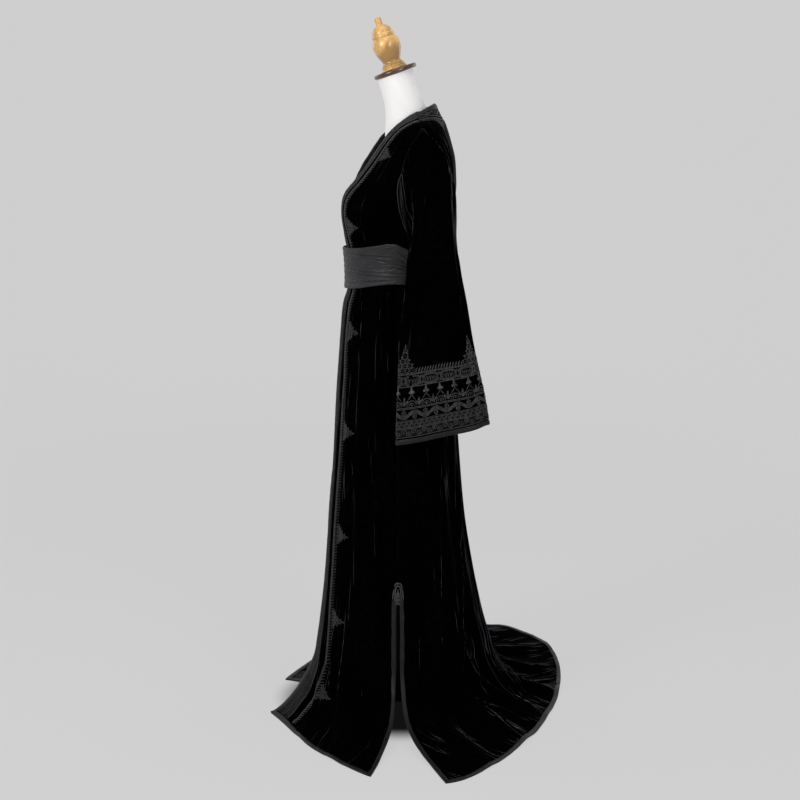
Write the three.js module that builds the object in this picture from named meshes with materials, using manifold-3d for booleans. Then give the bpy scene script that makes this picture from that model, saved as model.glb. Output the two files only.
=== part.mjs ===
// Velvet caftan on a limbless dress form. Millimetres, +Z up, floor at z = 0.
// The wearer faces -Y and the wearer's left is +X. The origin is the middle of the
// underside of the stand's foot.
//
// Each cloth panel is a surface f(u, v): u runs across the panel from its front edge (or
// centre back) to its side seam, v runs down from the shoulder to the hem. A panel's shape
// is a table with a row for each level, then a smooth fall onto the floor.
import * as THREE from 'three';
import { mergeVertices } from 'three/addons/utils/BufferGeometryUtils.js';
import Module from 'manifold-3d';

const wasm = await Module();
wasm.setup();

// ---------------------------------------------------------------- driving sizes
const WALL = 2.0;            // velvet
const SEAM = 0.15;           // half of the gap left at each seam
const LIFT = 0.3;            // gap between a panel and what lies on it
const BRAID = 1.3;           // thickness of borders and trims
const SATIN = 1.1;           // thickness of bindings
const BIND_W = 12;           // width of edge, hem and slit bindings
// embroidered border and scalloped trim, measured in from the front edge: level, outer edge of
// the border, both edges of the trim. The sash gathers them in at the waist.
const BORDERS = [
  [0, 52, 66, 82], [10.5, 52, 66, 82], [12.7, 68, 92, 108], [14, 76, 106, 122], [26, 76, 106, 122],
];
const FALL_ROWS = 6;         // grid rows in the part that turns out onto the floor
const FLOOR_Z = 1.0;         // underside of the cloth where it lies
const UNDERLAP = 10;         // how far the right front passes under the left at the chest
const SLIT_TOP = 345;        // height of the top of both side slits

// ---------------------------------------------------------------- level tables
// e: front edge (neckline, then centre front); a: shoulder seam, armhole, side seam.
// k1, k2: how square the section is at each end; full: forward fullness between them.
const FRONT = [
  // ex,   ey,   ez,  ax,   ay,   az,   k1,  k2, full
  [  70,   44, 1555,  78,   45, 1553, 0.33, 0.33, 0],
  [  67,   14, 1537, 126,   47, 1533, 0.33, 0.33, 1],
  [  62,  -21, 1508, 184,   51, 1510, 0.33, 0.33, 3],
  [  56,  -46, 1476, 190,   26, 1466, 0.40, 0.42, 3],
  [  47,  -70, 1440, 186,   10, 1424, 0.44, 0.48, 3],
  [  30, -106, 1390, 179,    0, 1374, 0.48, 0.52, 5],
  [  10, -140, 1347, 172,    2, 1329, 0.52, 0.55, 8],
  [  -6, -147, 1300, 164,   12, 1288, 0.56, 0.58, 8],
  [ -12, -141, 1250, 157,   28, 1250, 0.56, 0.56, 5],
  [ -15, -135, 1212, 143,   22, 1212, 0.55, 0.55, 2],
  [ -16, -131, 1160, 128,    8, 1160, 0.55, 0.55, 0],
  [ -16, -132, 1110, 136,    0, 1112, 0.55, 0.55, 0],
  [ -14, -146, 1060, 160,   -4, 1060, 0.55, 0.55, 0],
  [ -10, -152,  980, 187,   -5,  980, 0.56, 0.56, 2],
  [  -6, -158,  890, 199,   -5,  890, 0.56, 0.56, 3],
  [   0, -165,  780, 207,   -5,  780, 0.56, 0.56, 3],
  [   8, -174,  640, 214,   -5,  640, 0.56, 0.56, 2],
  [  18, -186,  500, 224,   -5,  500, 0.56, 0.56, 0],
  [  32, -195,  375, 236,   -5,  372, 0.56, 0.56, 0],
  [  50, -206,  262, 247,   -8,  260, 0.56, 0.56, 0],
  [  70, -219,  165, 256,   -9,  160, 0.56, 0.56, 0],
];
const BACK = [
  // cx,  cy,   cz,  ax,   ay,   az,   k1,  k2, full
  [   0,  80, 1568,  70,   45, 1556, 0.55, 0.50, 0],
  [   0,  99, 1549, 124,   50, 1535, 0.50, 0.40, 0],
  [   0, 116, 1522, 184,   58, 1510, 0.50, 0.42, 2],
  [   0, 129, 1480, 190,   86, 1466, 0.52, 0.46, 3],
  [   0, 138, 1440, 186,  101, 1424, 0.54, 0.50, 4],
  [   0, 141, 1390, 179,  107, 1374, 0.56, 0.50, 4],
  [   0, 139, 1347, 172,  102, 1329, 0.56, 0.52, 4],
  [   0, 129, 1300, 164,   78, 1288, 0.56, 0.54, 4],
  [   0, 110, 1250, 157,   30, 1250, 0.56, 0.56, 3],
  [   0,  90, 1212, 143,   22, 1212, 0.56, 0.56, 2],
  [   0,  72, 1160, 128,    8, 1160, 0.55, 0.55, 0],
  [   0,  76, 1110, 136,    0, 1112, 0.55, 0.55, 0],
  [   0, 100, 1060, 160,   -4, 1060, 0.55, 0.55, 0],
  [   0, 124,  980, 187,   -5,  980, 0.56, 0.56, 2],
  [   0, 137,  890, 199,   -5,  890, 0.56, 0.56, 3],
  [   0, 143,  780, 207,   -5,  780, 0.56, 0.56, 3],
  [   0, 150,  640, 214,   -5,  640, 0.56, 0.56, 2],
  [   0, 164,  500, 224,   -5,  500, 0.56, 0.56, 0],
  [   0, 184,  375, 236,   -5,  372, 0.56, 0.56, 0],
  [   0, 207,  262, 247,   -2,  260, 0.56, 0.56, 0],
  [   0, 232,  165, 256,   -1,  160, 0.56, 0.56, 0],
];
const LAST = FRONT.length - 1;
const V_HEM = LAST + FALL_ROWS;

// hem lines where they lie on the floor: x, y
const HEM_LEFT_FRONT = [[131, -339], [205, -302], [356, -235], [437, -186], [514, -135], [571, -80]];
const HEM_RIGHT_FRONT = [[132, -317], [207, -290], [350, -230], [432, -184], [512, -134], [570, -80]];
const HEM_BACK = [
  [613, 106], [583, 157], [507, 220], [428, 269], [346, 312], [261, 351], [172, 381], [80, 407],
  [-16, 428], [-174, 448], [-330, 451], [-442, 434], [-545, 389], [-622, 304], [-645, 200], [-634, 106],
];

// main folds of the hanging cloth: u centre, outward depth, half width in u, z top, z bottom, drift of u
const FRONT_FOLDS = [
  { u: 0.27, depth: 6, half: 0.10, top: 1080, bottom: 40, drift: 0.02 },
  { u: 0.45, depth: 5, half: 0.09, top: 900, bottom: 20, drift: 0.03 },
  { u: 0.63, depth: 9, half: 0.09, top: 1090, bottom: 60, drift: -0.02 },
  { u: 0.82, depth: 8, half: 0.08, top: 960, bottom: 20, drift: 0.02 },
];
const BACK_FOLDS = [
  { u: 0.90, depth: 8, half: 0.07, top: 1040, bottom: 30, drift: 0.02 },
  { u: 0.73, depth: 10, half: 0.08, top: 1090, bottom: 10, drift: -0.03 },
  { u: 0.50, depth: 7, half: 0.09, top: 960, bottom: 30, drift: 0.03 },
  { u: 0.27, depth: 10, half: 0.09, top: 1080, bottom: 10, drift: 0.02 },
  { u: 0.04, depth: 7, half: 0.09, top: 900, bottom: 20, drift: 0.00 },
  { u: -0.20, depth: 9, half: 0.09, top: 1060, bottom: 10, drift: -0.02 },
  { u: -0.43, depth: 7, half: 0.09, top: 980, bottom: 20, drift: 0.02 },
  { u: -0.65, depth: 10, half: 0.08, top: 1080, bottom: 10, drift: 0.02 },
  { u: -0.87, depth: 8, half: 0.07, top: 1000, bottom: 30, drift: -0.02 },
];
// ridges of the cloth where it lies: u centre, height, half width in u
const FRONT_RIPPLES = [
  { u: 0.40, high: 9, half: 0.10 },
  { u: 0.72, high: 12, half: 0.09 },
];
const BACK_RIPPLES = [
  { u: 0.80, high: 14, half: 0.07 },
  { u: 0.55, high: 18, half: 0.08 },
  { u: 0.30, high: 16, half: 0.08 },
  { u: 0.06, high: 20, half: 0.08 },
  { u: -0.20, high: 16, half: 0.08 },
  { u: -0.46, high: 22, half: 0.08 },
  { u: -0.72, high: 26, half: 0.09 },
];

// sleeve levels below the armhole ring. o: outer line, i: inner line, cy: middle front to back,
// hy: half width front to back, drop: how much lower the front edge is than the back
const SLEEVE = [
  // ox,  oz,   ix,   iz,  cy,  hy, drop
  [ 190, 1512, 160, 1248,  50,  55,  0],   // replaced by the armhole ring
  [ 216, 1500, 174, 1236,  61.5, 58.5, 0],
  [ 242, 1466, 186, 1220,  70.5, 64.5, 0],
  [ 259, 1412, 195, 1200,  75,  61,  0],
  [ 270, 1340, 202, 1172,  81.5, 55.5, 0],
  [ 278, 1240, 208, 1116,  82,  66,  2],
  [ 284, 1120, 214, 1040,  86,  79,  8],
  [ 289,  985, 220,  940,  92,  92, 14],
  [ 293,  868, 224,  848, 100, 106, 20],
  [ 296,  771, 228,  768, 106, 114, 26],
];
const SLEEVE_LAST = SLEEVE.length - 1;
const SLEEVE_FOLDS = [
  // phi centre in degrees, outward depth, half width in degrees, level where it starts
  { phi: 62, depth: 6, half: 26, from: 3 },
  { phi: 20, depth: -5, half: 24, from: 3 },
  { phi: -32, depth: 6, half: 28, from: 4 },
  { phi: -72, depth: -5, half: 24, from: 3 },
  { phi: 180, depth: -6, half: 40, from: 5 },
];
const CUFF_BINDING = [0, 15];
const CUFF_BRAID = [20, 68];

// sash
const SASH = { inset: 7.2, lap: 4.5, thick: 3.0, pleat: 2.2, cols: 28, rows: 6 };
const SASH_EDGE = [
  // angle from centre front, top height, bottom height
  [0, 1213, 1107], [30, 1215, 1112], [60, 1227, 1124], [76, 1235, 1130], [92, 1216, 1129], [120, 1211, 1124], [180, 1208, 1118],
  [240, 1211, 1124], [268, 1216, 1129], [284, 1235, 1130], [300, 1227, 1124], [330, 1215, 1112], [360, 1213, 1107],
];

// dress form rings: z at the middle, front y, back y, half width, tilt (degrees, top towards the front)
const FORM = [
  [ 880, -128, 112, 168, 0], [ 900, -134, 118, 176, 0], [ 960, -132, 110, 170, 0], [1040, -122,  84, 144, 0],
  [1100, -116,  60, 122, 0], [1160, -113,  56, 112, 0], [1230, -120,  76, 122, 0], [1300, -126, 110, 144, 0],
  [1345, -114, 120, 152, 0], [1390,  -86, 122, 160, 0], [1435,  -50, 118, 166, 0], [1470,  -28, 110, 168, 0],
  [1492,  -12, 102, 160, 0], [1510,    0,  94, 132, 0], [1525,    8,  86,  98, 0], [1540,   22,  74,  52, 0],
];
const NECK = [
  [1420,  -20,  70,  46, 0], [1470,  -36,  74,  51, 0], [1500,  -38,  76,  54, 0], [1530,  -37,  75,  55, 2],
  [1555,  -37,  68,  54, 6], [1580,  -39,  57,  52, 11], [1610,  -45,  44,  50, 15], [1651.4, -56,  32,  48, 19],
];
const FORM_SIDES = 28;

// neck cap and finial, turned about one leaning axis: radius, height above the cap's underside
const CAP_FOOT = [0, -10.2, 1652.4];
const CAP_LEAN = 19;
const FINIAL_LEAN = 19;
const FLANGE_PROFILE = [[0, 0], [53, 0], [55.5, 2], [56, 5.5], [55, 9], [52, 11], [33, 11.5], [0, 11.5]];
const FINIAL_PROFILE = [
  [0, 11.9], [31, 11.9], [32.5, 14], [32, 16.5], [29.5, 18], [30.5, 20], [29.5, 22], [27.2, 23.5], [27.8, 25.5], [25, 28],
  [23.2, 31], [23.6, 35], [26.2, 41], [30.4, 51], [34, 61], [35.8, 71], [35.6, 79], [33, 87.5], [28.5, 93.5], [27.6, 95.5],
  [29.2, 97.5], [29.4, 101.5], [28, 104.5], [26.2, 106], [25.4, 111], [21.5, 118.5], [14, 124.5], [9.4, 126.5], [8.8, 131],
  [9, 141], [7.4, 145.5], [0, 147],
];
const POLE = { r: 16, from: 10.3, to: 879.6, sides: 20 };
const FOOT = { hub: 45, leg: 30, reach: 205, thick: 10 };

const SLIT_KNOT = { z: 352, x: 3.6, y: 12.5, h: 23 };

// ---------------------------------------------------------------- small maths
const lerp = (a, b, t) => a + (b - a) * t;
const clamp = (x, a, b) => Math.min(b, Math.max(a, x));
const smooth = (a, b, x) => { const t = clamp((x - a) / (b - a), 0, 1); return t * t * (3 - 2 * t); };
const bump = (d, half) => (Math.abs(d) >= half ? 0 : 0.5 + 0.5 * Math.cos(Math.PI * d / half));
const rad = Math.PI / 180;

// smooth interpolation down a table, one column at a time
function level(table, v) {
  const n = table.length - 1, i = Math.min(n - 1, Math.max(0, Math.floor(v))), t = v - i;
  const p = table[Math.max(0, i - 1)], q = table[i], r = table[i + 1], s = table[Math.min(n, i + 2)];
  return q.map((_, c) => 0.5 * (2 * q[c] + (r[c] - p[c]) * t + (2 * p[c] - 5 * q[c] + 4 * r[c] - s[c]) * t * t
    + (3 * q[c] - p[c] - 3 * r[c] + s[c]) * t * t * t));
}
function along(line, t) {              // point at a fraction of a line's length
  const len = [0];
  for (let i = 1; i < line.length; i++) len.push(len[i - 1] + Math.hypot(line[i][0] - line[i - 1][0], line[i][1] - line[i - 1][1]));
  const want = clamp(t, 0, 1) * len[len.length - 1];
  let i = 1; while (i < line.length - 1 && len[i] < want) i++;
  const k = (want - len[i - 1]) / (len[i] - len[i - 1]);
  return [lerp(line[i - 1][0], line[i][0], k), lerp(line[i - 1][1], line[i][1], k)];
}
function column(table, x, c) {          // linear lookup in a table keyed by its first column
  let i = 1; while (i < table.length - 1 && table[i][0] < x) i++;
  const k = clamp((x - table[i - 1][0]) / (table[i][0] - table[i - 1][0]), 0, 1);
  return lerp(table[i - 1][c], table[i][c], k);
}
const sub = (a, b) => [a[0] - b[0], a[1] - b[1], a[2] - b[2]];
const add = (a, b, k = 1) => [a[0] + b[0] * k, a[1] + b[1] * k, a[2] + b[2] * k];
const cross = (a, b) => [a[1] * b[2] - a[2] * b[1], a[2] * b[0] - a[0] * b[2], a[0] * b[1] - a[1] * b[0]];
const norm = (a) => { const l = Math.hypot(...a) || 1; return [a[0] / l, a[1] / l, a[2] / l]; };
const dist = (a, b) => Math.hypot(a[0] - b[0], a[1] - b[1], a[2] - b[2]);

// ---------------------------------------------------------------- panel surfaces
// one level of a panel at u = 0..1, on the wearer's left
function section(row, u) {
  const [ex, ey, ez, ax, ay, az, k1, k2, full] = row;
  const dir = ey < ay ? -1 : 1;
  const p1 = [ex + k1 * (ax - ex), ey + dir * full], p2 = [ax, ay + k2 * (ey - ay)], m = 1 - u;
  const b = [m * m * m, 3 * m * m * u, 3 * m * u * u, u * u * u];
  return [b[0] * ex + b[1] * p1[0] + b[2] * p2[0] + b[3] * ax,
    b[0] * ey + b[1] * p1[1] + b[2] * p2[1] + b[3] * ay, lerp(ez, az, u * u * (3 - 2 * u))];
}
// hanging part, then a curve that turns out over the floor to the hem point
function fallen(table, u, v, hem, folds, ripples, us, edge = 0.62) {
  const hang = (vv) => section(level(table, vv), u);
  let p;
  if (v <= LAST) p = hang(v);
  else {
    const t = (v - LAST) / FALL_ROWS, m = 1 - t;
    const p0 = hang(LAST), d = norm(sub(p0, hang(LAST - 0.5)));
    // edge under 0.62 lets the front edge fall nearly straight to its corner
    const soft = lerp(edge, 0.62, smooth(0, 0.5, u));
    const p1 = add(p0, d, p0[2] * soft), foot = add(p0, d, p0[2]);
    const p3 = [hem[0], hem[1], FLOOR_Z], p2 = [lerp(p3[0], foot[0], soft), lerp(p3[1], foot[1], soft), FLOOR_Z + 1];
    const b = [m * m * m, 3 * m * m * t, 3 * m * t * t, t * t * t];
    p = [0, 1, 2].map((c) => b[0] * p0[c] + b[1] * p1[c] + b[2] * p2[c] + b[3] * p3[c]);
    for (const r of ripples) p[2] += r.high * bump(us - r.u, r.half) * smooth(0.25, 0.6, t) * (1 - smooth(0.75, 1, t) * 0.8);
  }
  // folds push the cloth straight out from the pole
  const z = p[2];
  let out = 0;
  for (const f of folds) out += f.depth * bump(us - f.u - f.drift * (f.top - z) / 1000, f.half) * smooth(f.top, f.top - 260, z) * smooth(f.bottom, f.bottom + 110, z);
  const l = Math.hypot(p[0], p[1]) || 1;
  return [p[0] * (1 + out / l), p[1] * (1 + out / l), p[2]];
}
const leftFront = (u, v) => fallen(FRONT, u, v, along(HEM_LEFT_FRONT, u), FRONT_FOLDS, FRONT_RIPPLES, u, 0.36);
const rightFront = (u, v) => {
  const p = fallen(FRONT, u, v, along(HEM_RIGHT_FRONT, u), FRONT_FOLDS, FRONT_RIPPLES, u);
  const under = UNDERLAP * (1 - smooth(0.05, 0.55, u)) * smooth(1400, 1335, p[2]) * smooth(600, 740, p[2]);
  return [-p[0], p[1] + under, p[2]];
};
// us = 1 at the left side seam, 0 at centre back, -1 at the right side seam
const back = (us, v) => {
  const p = fallen(BACK, Math.abs(us), v, [0, 0], BACK_FOLDS, BACK_RIPPLES, us);
  if (us < 0) p[0] = -p[0];
  if (v > LAST) {
    const h = along(HEM_BACK, (1 - us) / 2), side = us < 0 ? -1 : 1;
    const q = fallen(BACK, Math.abs(us), v, [h[0] * side, h[1]], BACK_FOLDS, BACK_RIPPLES, us);
    return [q[0] * side, q[1], q[2]];
  }
  return p;
};

// u that lies a given distance in from the panel's edge, at one level
function inFrom(f, v, d, from = 0, to = 1) {
  const n = 24; let l = 0, p = f(from, v);
  for (let i = 1; i <= n; i++) {
    const u = lerp(from, to, i / n), q = f(u, v), s = dist(p, q);
    if (l + s >= d) return lerp(from, to, (i - 1 + (d - l) / s) / n);
    l += s; p = q;
  }
  return to;
}
function rowLength(f, v, from = 0, to = 1) {
  let l = 0, p = f(from, v);
  for (let i = 1; i <= 24; i++) { const q = f(lerp(from, to, i / 24), v); l += dist(p, q); p = q; }
  return l;
}
// level that lies a given distance up from the hem, for one u
function upFrom(f, u, d) {
  let l = 0, v = V_HEM, p = f(u, v);
  while (v > LAST) { const w = v - 0.05, q = f(u, w), s = dist(p, q); if (l + s >= d) return v - 0.05 * (d - l) / s; l += s; v = w; p = q; }
  return v;
}

// ---------------------------------------------------------------- walls
// A panel's grid: places and outward normals. cols(v) gives the u of each column at a level;
// a row is a level, or { up } for a row that runs that far above the hem line.
function gridOf(f, out, cols, rows, closed = false) {
  const h = 0.01, P = [], N = [];
  rows.forEach((row) => {
    const free = typeof row === 'object', us = cols(free ? V_HEM : row), p = [], n = [];
    for (const u of us) {
      const v = free ? row.up(u) : row;
      const du = sub(f(u + h * 0.2, v), f(u - h * 0.2, v)), dv = sub(f(u, Math.min(v + h, V_HEM)), f(u, Math.max(v - h, 0)));
      p.push(f(u, v)); n.push(norm(cross(dv, du)).map((x) => x * out));
    }
    P.push(p); N.push(n);
  });
  return { P, N, out, closed };
}
// The wall over part of a grid, between heights t0 and t1 above it. trim moves its first column,
// last column, first row and last row inwards by so many millimetres.
function wall(grid, { i0 = 0, i1 = null, j0 = 0, j1 = null, trim = [0, 0, 0, 0], t0, t1 }) {
  const { closed, out } = grid;
  i1 ??= grid.P[0].length - 1; j1 ??= grid.P.length - 1;
  let P = grid.P.slice(j0, j1 + 1).map((r) => r.slice(i0, i1 + 1)), N = grid.N.slice(j0, j1 + 1).map((r) => r.slice(i0, i1 + 1));
  const slide = (p, n, q, m, d) => {
    const k = Math.min(0.45, d / (dist(p, q) || 1));
    return [[0, 1, 2].map((c) => lerp(p[c], q[c], k)), [0, 1, 2].map((c) => lerp(n[c], m[c], k))];
  };
  const nj = P.length - 1, ni = P[0].length - 1;
  const P2 = P.map((r) => r.slice()), N2 = N.map((r) => r.slice());
  for (let j = 0; j <= nj; j++) {
    if (trim[0]) [P2[j][0], N2[j][0]] = slide(P[j][0], N[j][0], P[j][1], N[j][1], trim[0]);
    if (trim[1]) [P2[j][ni], N2[j][ni]] = slide(P[j][ni], N[j][ni], P[j][ni - 1], N[j][ni - 1], trim[1]);
  }
  P = P2.map((r) => r.slice()); N = N2.map((r) => r.slice());
  for (let i = 0; i <= ni; i++) {
    if (trim[2]) [P[0][i], N[0][i]] = slide(P2[0][i], N2[0][i], P2[1][i], N2[1][i], trim[2]);
    if (trim[3]) [P[nj][i], N[nj][i]] = slide(P2[nj][i], N2[nj][i], P2[nj - 1][i], N2[nj - 1][i], trim[3]);
  }
  const cols = ni + 1, steps = closed ? cols : ni, pos = [], idx = [];
  const at = (i, j, k) => ((i % cols) * (nj + 1) + j) * 2 + k;
  for (let i = 0; i < cols; i++) for (let j = 0; j <= nj; j++) pos.push(...add(P[j][i], N[j][i], t0), ...add(P[j][i], N[j][i], t1));
  const quad = (a, b, c, d) => (out > 0 ? idx.push(a, b, c, a, c, d) : idx.push(a, c, b, a, d, c));
  for (let i = 0; i < steps; i++) {
    for (let j = 0; j < nj; j++) {
      quad(at(i, j, 1), at(i, j + 1, 1), at(i + 1, j + 1, 1), at(i + 1, j, 1));
      // the underside is split along the same diagonal as the top
      out > 0 ? idx.push(at(i, j, 0), at(i + 1, j + 1, 0), at(i, j + 1, 0), at(i, j, 0), at(i + 1, j, 0), at(i + 1, j + 1, 0))
        : idx.push(at(i, j, 0), at(i, j + 1, 0), at(i + 1, j + 1, 0), at(i, j, 0), at(i + 1, j + 1, 0), at(i + 1, j, 0));
    }
    quad(at(i, 0, 0), at(i, 0, 1), at(i + 1, 0, 1), at(i + 1, 0, 0));
    quad(at(i, nj, 0), at(i + 1, nj, 0), at(i + 1, nj, 1), at(i, nj, 1));
  }
  if (!closed) for (let j = 0; j < nj; j++) {
    quad(at(0, j, 0), at(0, j + 1, 0), at(0, j + 1, 1), at(0, j, 1));
    quad(at(ni, j, 0), at(ni, j, 1), at(ni, j + 1, 1), at(ni, j + 1, 0));
  }
  const g = new THREE.BufferGeometry();
  g.setAttribute('position', new THREE.Float32BufferAttribute(pos, 3));
  g.setIndex(idx);
  return g;
}

// rings stacked into one closed solid
function loft(rings) {
  const n = rings[0].length, pos = [], idx = [];
  for (const r of rings) for (const p of r) pos.push(...p);
  for (let k = 0; k < rings.length - 1; k++) for (let i = 0; i < n; i++) {
    const a = k * n + i, b = k * n + (i + 1) % n, c = a + n, d = b + n;
    idx.push(a, b, d, a, d, c);
  }
  const cap = (k, up) => {
    const c = rings[k].reduce((s, p) => add(s, p, 1 / n), [0, 0, 0]), m = pos.length / 3;
    pos.push(...c);
    for (let i = 0; i < n; i++) { const a = k * n + i, b = k * n + (i + 1) % n; up ? idx.push(a, b, m) : idx.push(b, a, m); }
  };
  cap(0, false); cap(rings.length - 1, true);
  const g = new THREE.BufferGeometry();
  g.setAttribute('position', new THREE.Float32BufferAttribute(pos, 3));
  g.setIndex(idx);
  return g;
}

// ---------------------------------------------------------------- model
const model = new THREE.Group();
const finish = {
  velvet: { color: 0x08080a, roughness: 0.95, metalness: 0 },
  satin: { color: 0x3c3c40, roughness: 0.45, metalness: 0 },
  braid: { color: 0x4a4a50, roughness: 0.7, metalness: 0 },
  jersey: { color: 0xe8e6e0, roughness: 0.9, metalness: 0 },
  darkwood: { color: 0x2a1a12, roughness: 0.4, metalness: 0 },
  wood: { color: 0x9a6a28, roughness: 0.3, metalness: 0 },
  iron: { color: 0x2b2b2b, roughness: 0.6, metalness: 0.8 },
};
function put(name, geometry, look) {
  for (const a of Object.keys(geometry.attributes)) if (a !== 'position') geometry.deleteAttribute(a);
  const merged = mergeVertices(geometry, 1e-4);
  merged.computeVertexNormals();
  const mesh = new THREE.Mesh(merged, new THREE.MeshStandardMaterial(finish[look]));
  mesh.name = name;
  model.add(mesh);
  return mesh;
}

// rows of the panel grids: every level of the tables, the level of the slit tops, the rows on
// the floor and the line of the hem binding
const SLIT_V = 18.3;
const LEVELS = [];
for (let v = 0; v < V_HEM; v++) { LEVELS.push(v); if (v === 18) LEVELS.push(SLIT_V); }
const TOP = WALL + LIFT;

// fronts -------------------------------------------------------
// columns: the edges of the binding, border and trim, then even steps, then the slit binding
const FRONT_STEPS = 6;
for (const [side, f, out] of [['left', leftFront, 1], ['right', rightFront, -1]]) {
  const cols = (v) => {
    const l = rowLength(f, v), d = [0, 12.4, column(BORDERS, v, 1), column(BORDERS, v, 2), column(BORDERS, v, 3)].map((x, k) => Math.min(x, l * [0, 0.12, 0.4, 0.5, 0.62][k]));
    const last = Math.max(l - 12.4, l * 0.86);
    for (let k = 1; k <= FRONT_STEPS; k++) d.push(lerp(d[4], last, k / FRONT_STEPS));
    d.push(l - SEAM);
    return d.map((x) => inFrom(f, v, x));
  };
  const rows = [...LEVELS, { up: (u) => upFrom(f, u, 12.4) }, V_HEM];
  const g = gridOf(f, out, cols, rows), nj = rows.length - 1, ni = FRONT_STEPS + 5, js = rows.indexOf(SLIT_V);
  put(`${side}_front`, wall(g, { t0: 0, t1: WALL }), 'velvet');
  put(`${side}_edge_binding`, wall(g, { i1: 1, t0: TOP, t1: TOP + SATIN, trim: [0, 0.4, 0, 0] }), 'satin');
  put(`${side}_front_border`, wall(g, { i0: 1, i1: 2, j0: 1, j1: nj - 1, t0: TOP, t1: TOP + BRAID, trim: [0.4, 0, 0, 0.4] }), 'braid');
  put(`${side}_front_trim`, wall(g, { i0: 3, i1: 4, j0: 2, j1: nj - 1, t0: TOP, t1: TOP + BRAID, trim: [0, 0, 0, 0.4] }), 'braid');
  put(`${side}_front_hem_binding`, wall(g, { i0: 1, i1: ni - 1, j0: nj - 1, t0: TOP, t1: TOP + SATIN, trim: [0.4, 0.4, 0, 0] }), 'satin');
  put(`${side}_slit_front_binding`, wall(g, { i0: ni - 1, j0: js, t0: TOP, t1: TOP + SATIN }), 'satin');
}

// back, in two halves joined by a centre back seam ---------------
const BACK_STEPS = 9;                                  // even steps from centre back to the slit binding
for (const [side, sgn] of [['left', 1], ['right', -1]]) {
  const cols = (v) => {
    const l = rowLength(back, v, 0, sgn), last = Math.max(l - 12.4, l * 0.86), u = [inFrom(back, v, SEAM, 0, sgn)];
    for (let k = 1; k <= BACK_STEPS; k++) u.push(inFrom(back, v, last * k / BACK_STEPS, 0, sgn));
    u.push(inFrom(back, v, l - SEAM, 0, sgn));
    return sgn > 0 ? u : u.reverse();
  };
  const rows = [0, 0.42, ...LEVELS.slice(1), { up: (u) => upFrom(back, u, 12.4) }, V_HEM];
  const g = gridOf(back, -1, cols, rows), nj = rows.length - 1, ni = BACK_STEPS + 1, js = rows.indexOf(SLIT_V);
  const seam = (v) => (sgn > 0 ? [0, v] : [v, 0]);     // trim on the side seam's end only
  const slit = sgn > 0 ? { i0: ni - 1 } : { i1: 1 }, rest = sgn > 0 ? { i1: ni - 1 } : { i0: 1 };
  put(`${side}_back`, wall(g, { t0: 0, t1: WALL }), 'velvet');
  put(`${side}_back_neck_binding`, wall(g, { j1: 1, t0: TOP, t1: TOP + SATIN, trim: [...seam(0.5), 0, 0.4] }), 'satin');
  put(`${side}_back_neck_border`, wall(g, { j0: 1, j1: 3, t0: TOP, t1: TOP + BRAID, trim: [...seam(0.5), 0.4, 3] }), 'braid');
  put(`${side}_back_hem_binding`, wall(g, { ...rest, j0: nj - 1, t0: TOP, t1: TOP + SATIN, trim: [...seam(0.4), 0, 0] }), 'satin');
  put(`${side}_slit_back_binding`, wall(g, { ...slit, j0: js, t0: TOP, t1: TOP + SATIN }), 'satin');
}

// sleeves ------------------------------------------------------
// phi = 0 on the outer line, 90 at the front, 180 underneath, 270 at the back
function armhole(phi) {
  const c = Math.cos(phi), z = lerp(1250, 1510, (c + 1) / 2), t = Math.sin(phi) >= 0 ? FRONT : BACK;
  let v = 2; while (v < 8 && level(t, v)[5] > z) v += 0.02;
  const r = level(t, v);
  return [r[3] + 2.9, r[4], r[5]];
}
function sleeve(phi, w) {
  const k = level(SLEEVE, w), [ox, oz, ix, iz, cy, hy, drop] = k, c = Math.cos(phi), s = Math.sin(phi);
  let p = [lerp(ix, ox, (c + 1) / 2), cy - hy * s, lerp(iz, oz, (c + 1) / 2) - drop * s];
  if (w < 2) {
    const a = armhole(phi), q = 1 - smooth(0, 2, w);
    // near the seam the sleeve keeps the armhole's outline and moves straight out of it
    const b = [p[0] + (w < 1 ? 0 : 0), lerp(p[1], a[1], q), lerp(p[2], a[2], q)];
    p = [lerp(p[0], a[0] + 14 * w, q), b[1], b[2]];
  }
  let out = 0;
  for (const f of SLEEVE_FOLDS) {
    let d = phi / rad - f.phi; d -= 360 * Math.round(d / 360);
    out += f.depth * bump(d, f.half) * smooth(f.from, f.from + 1.5, w);
  }
  const n = norm([c * (ox - ix) / 2, -s * hy, 0]);
  return add(p, n, out);
}
const S_COLS = 16;
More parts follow.
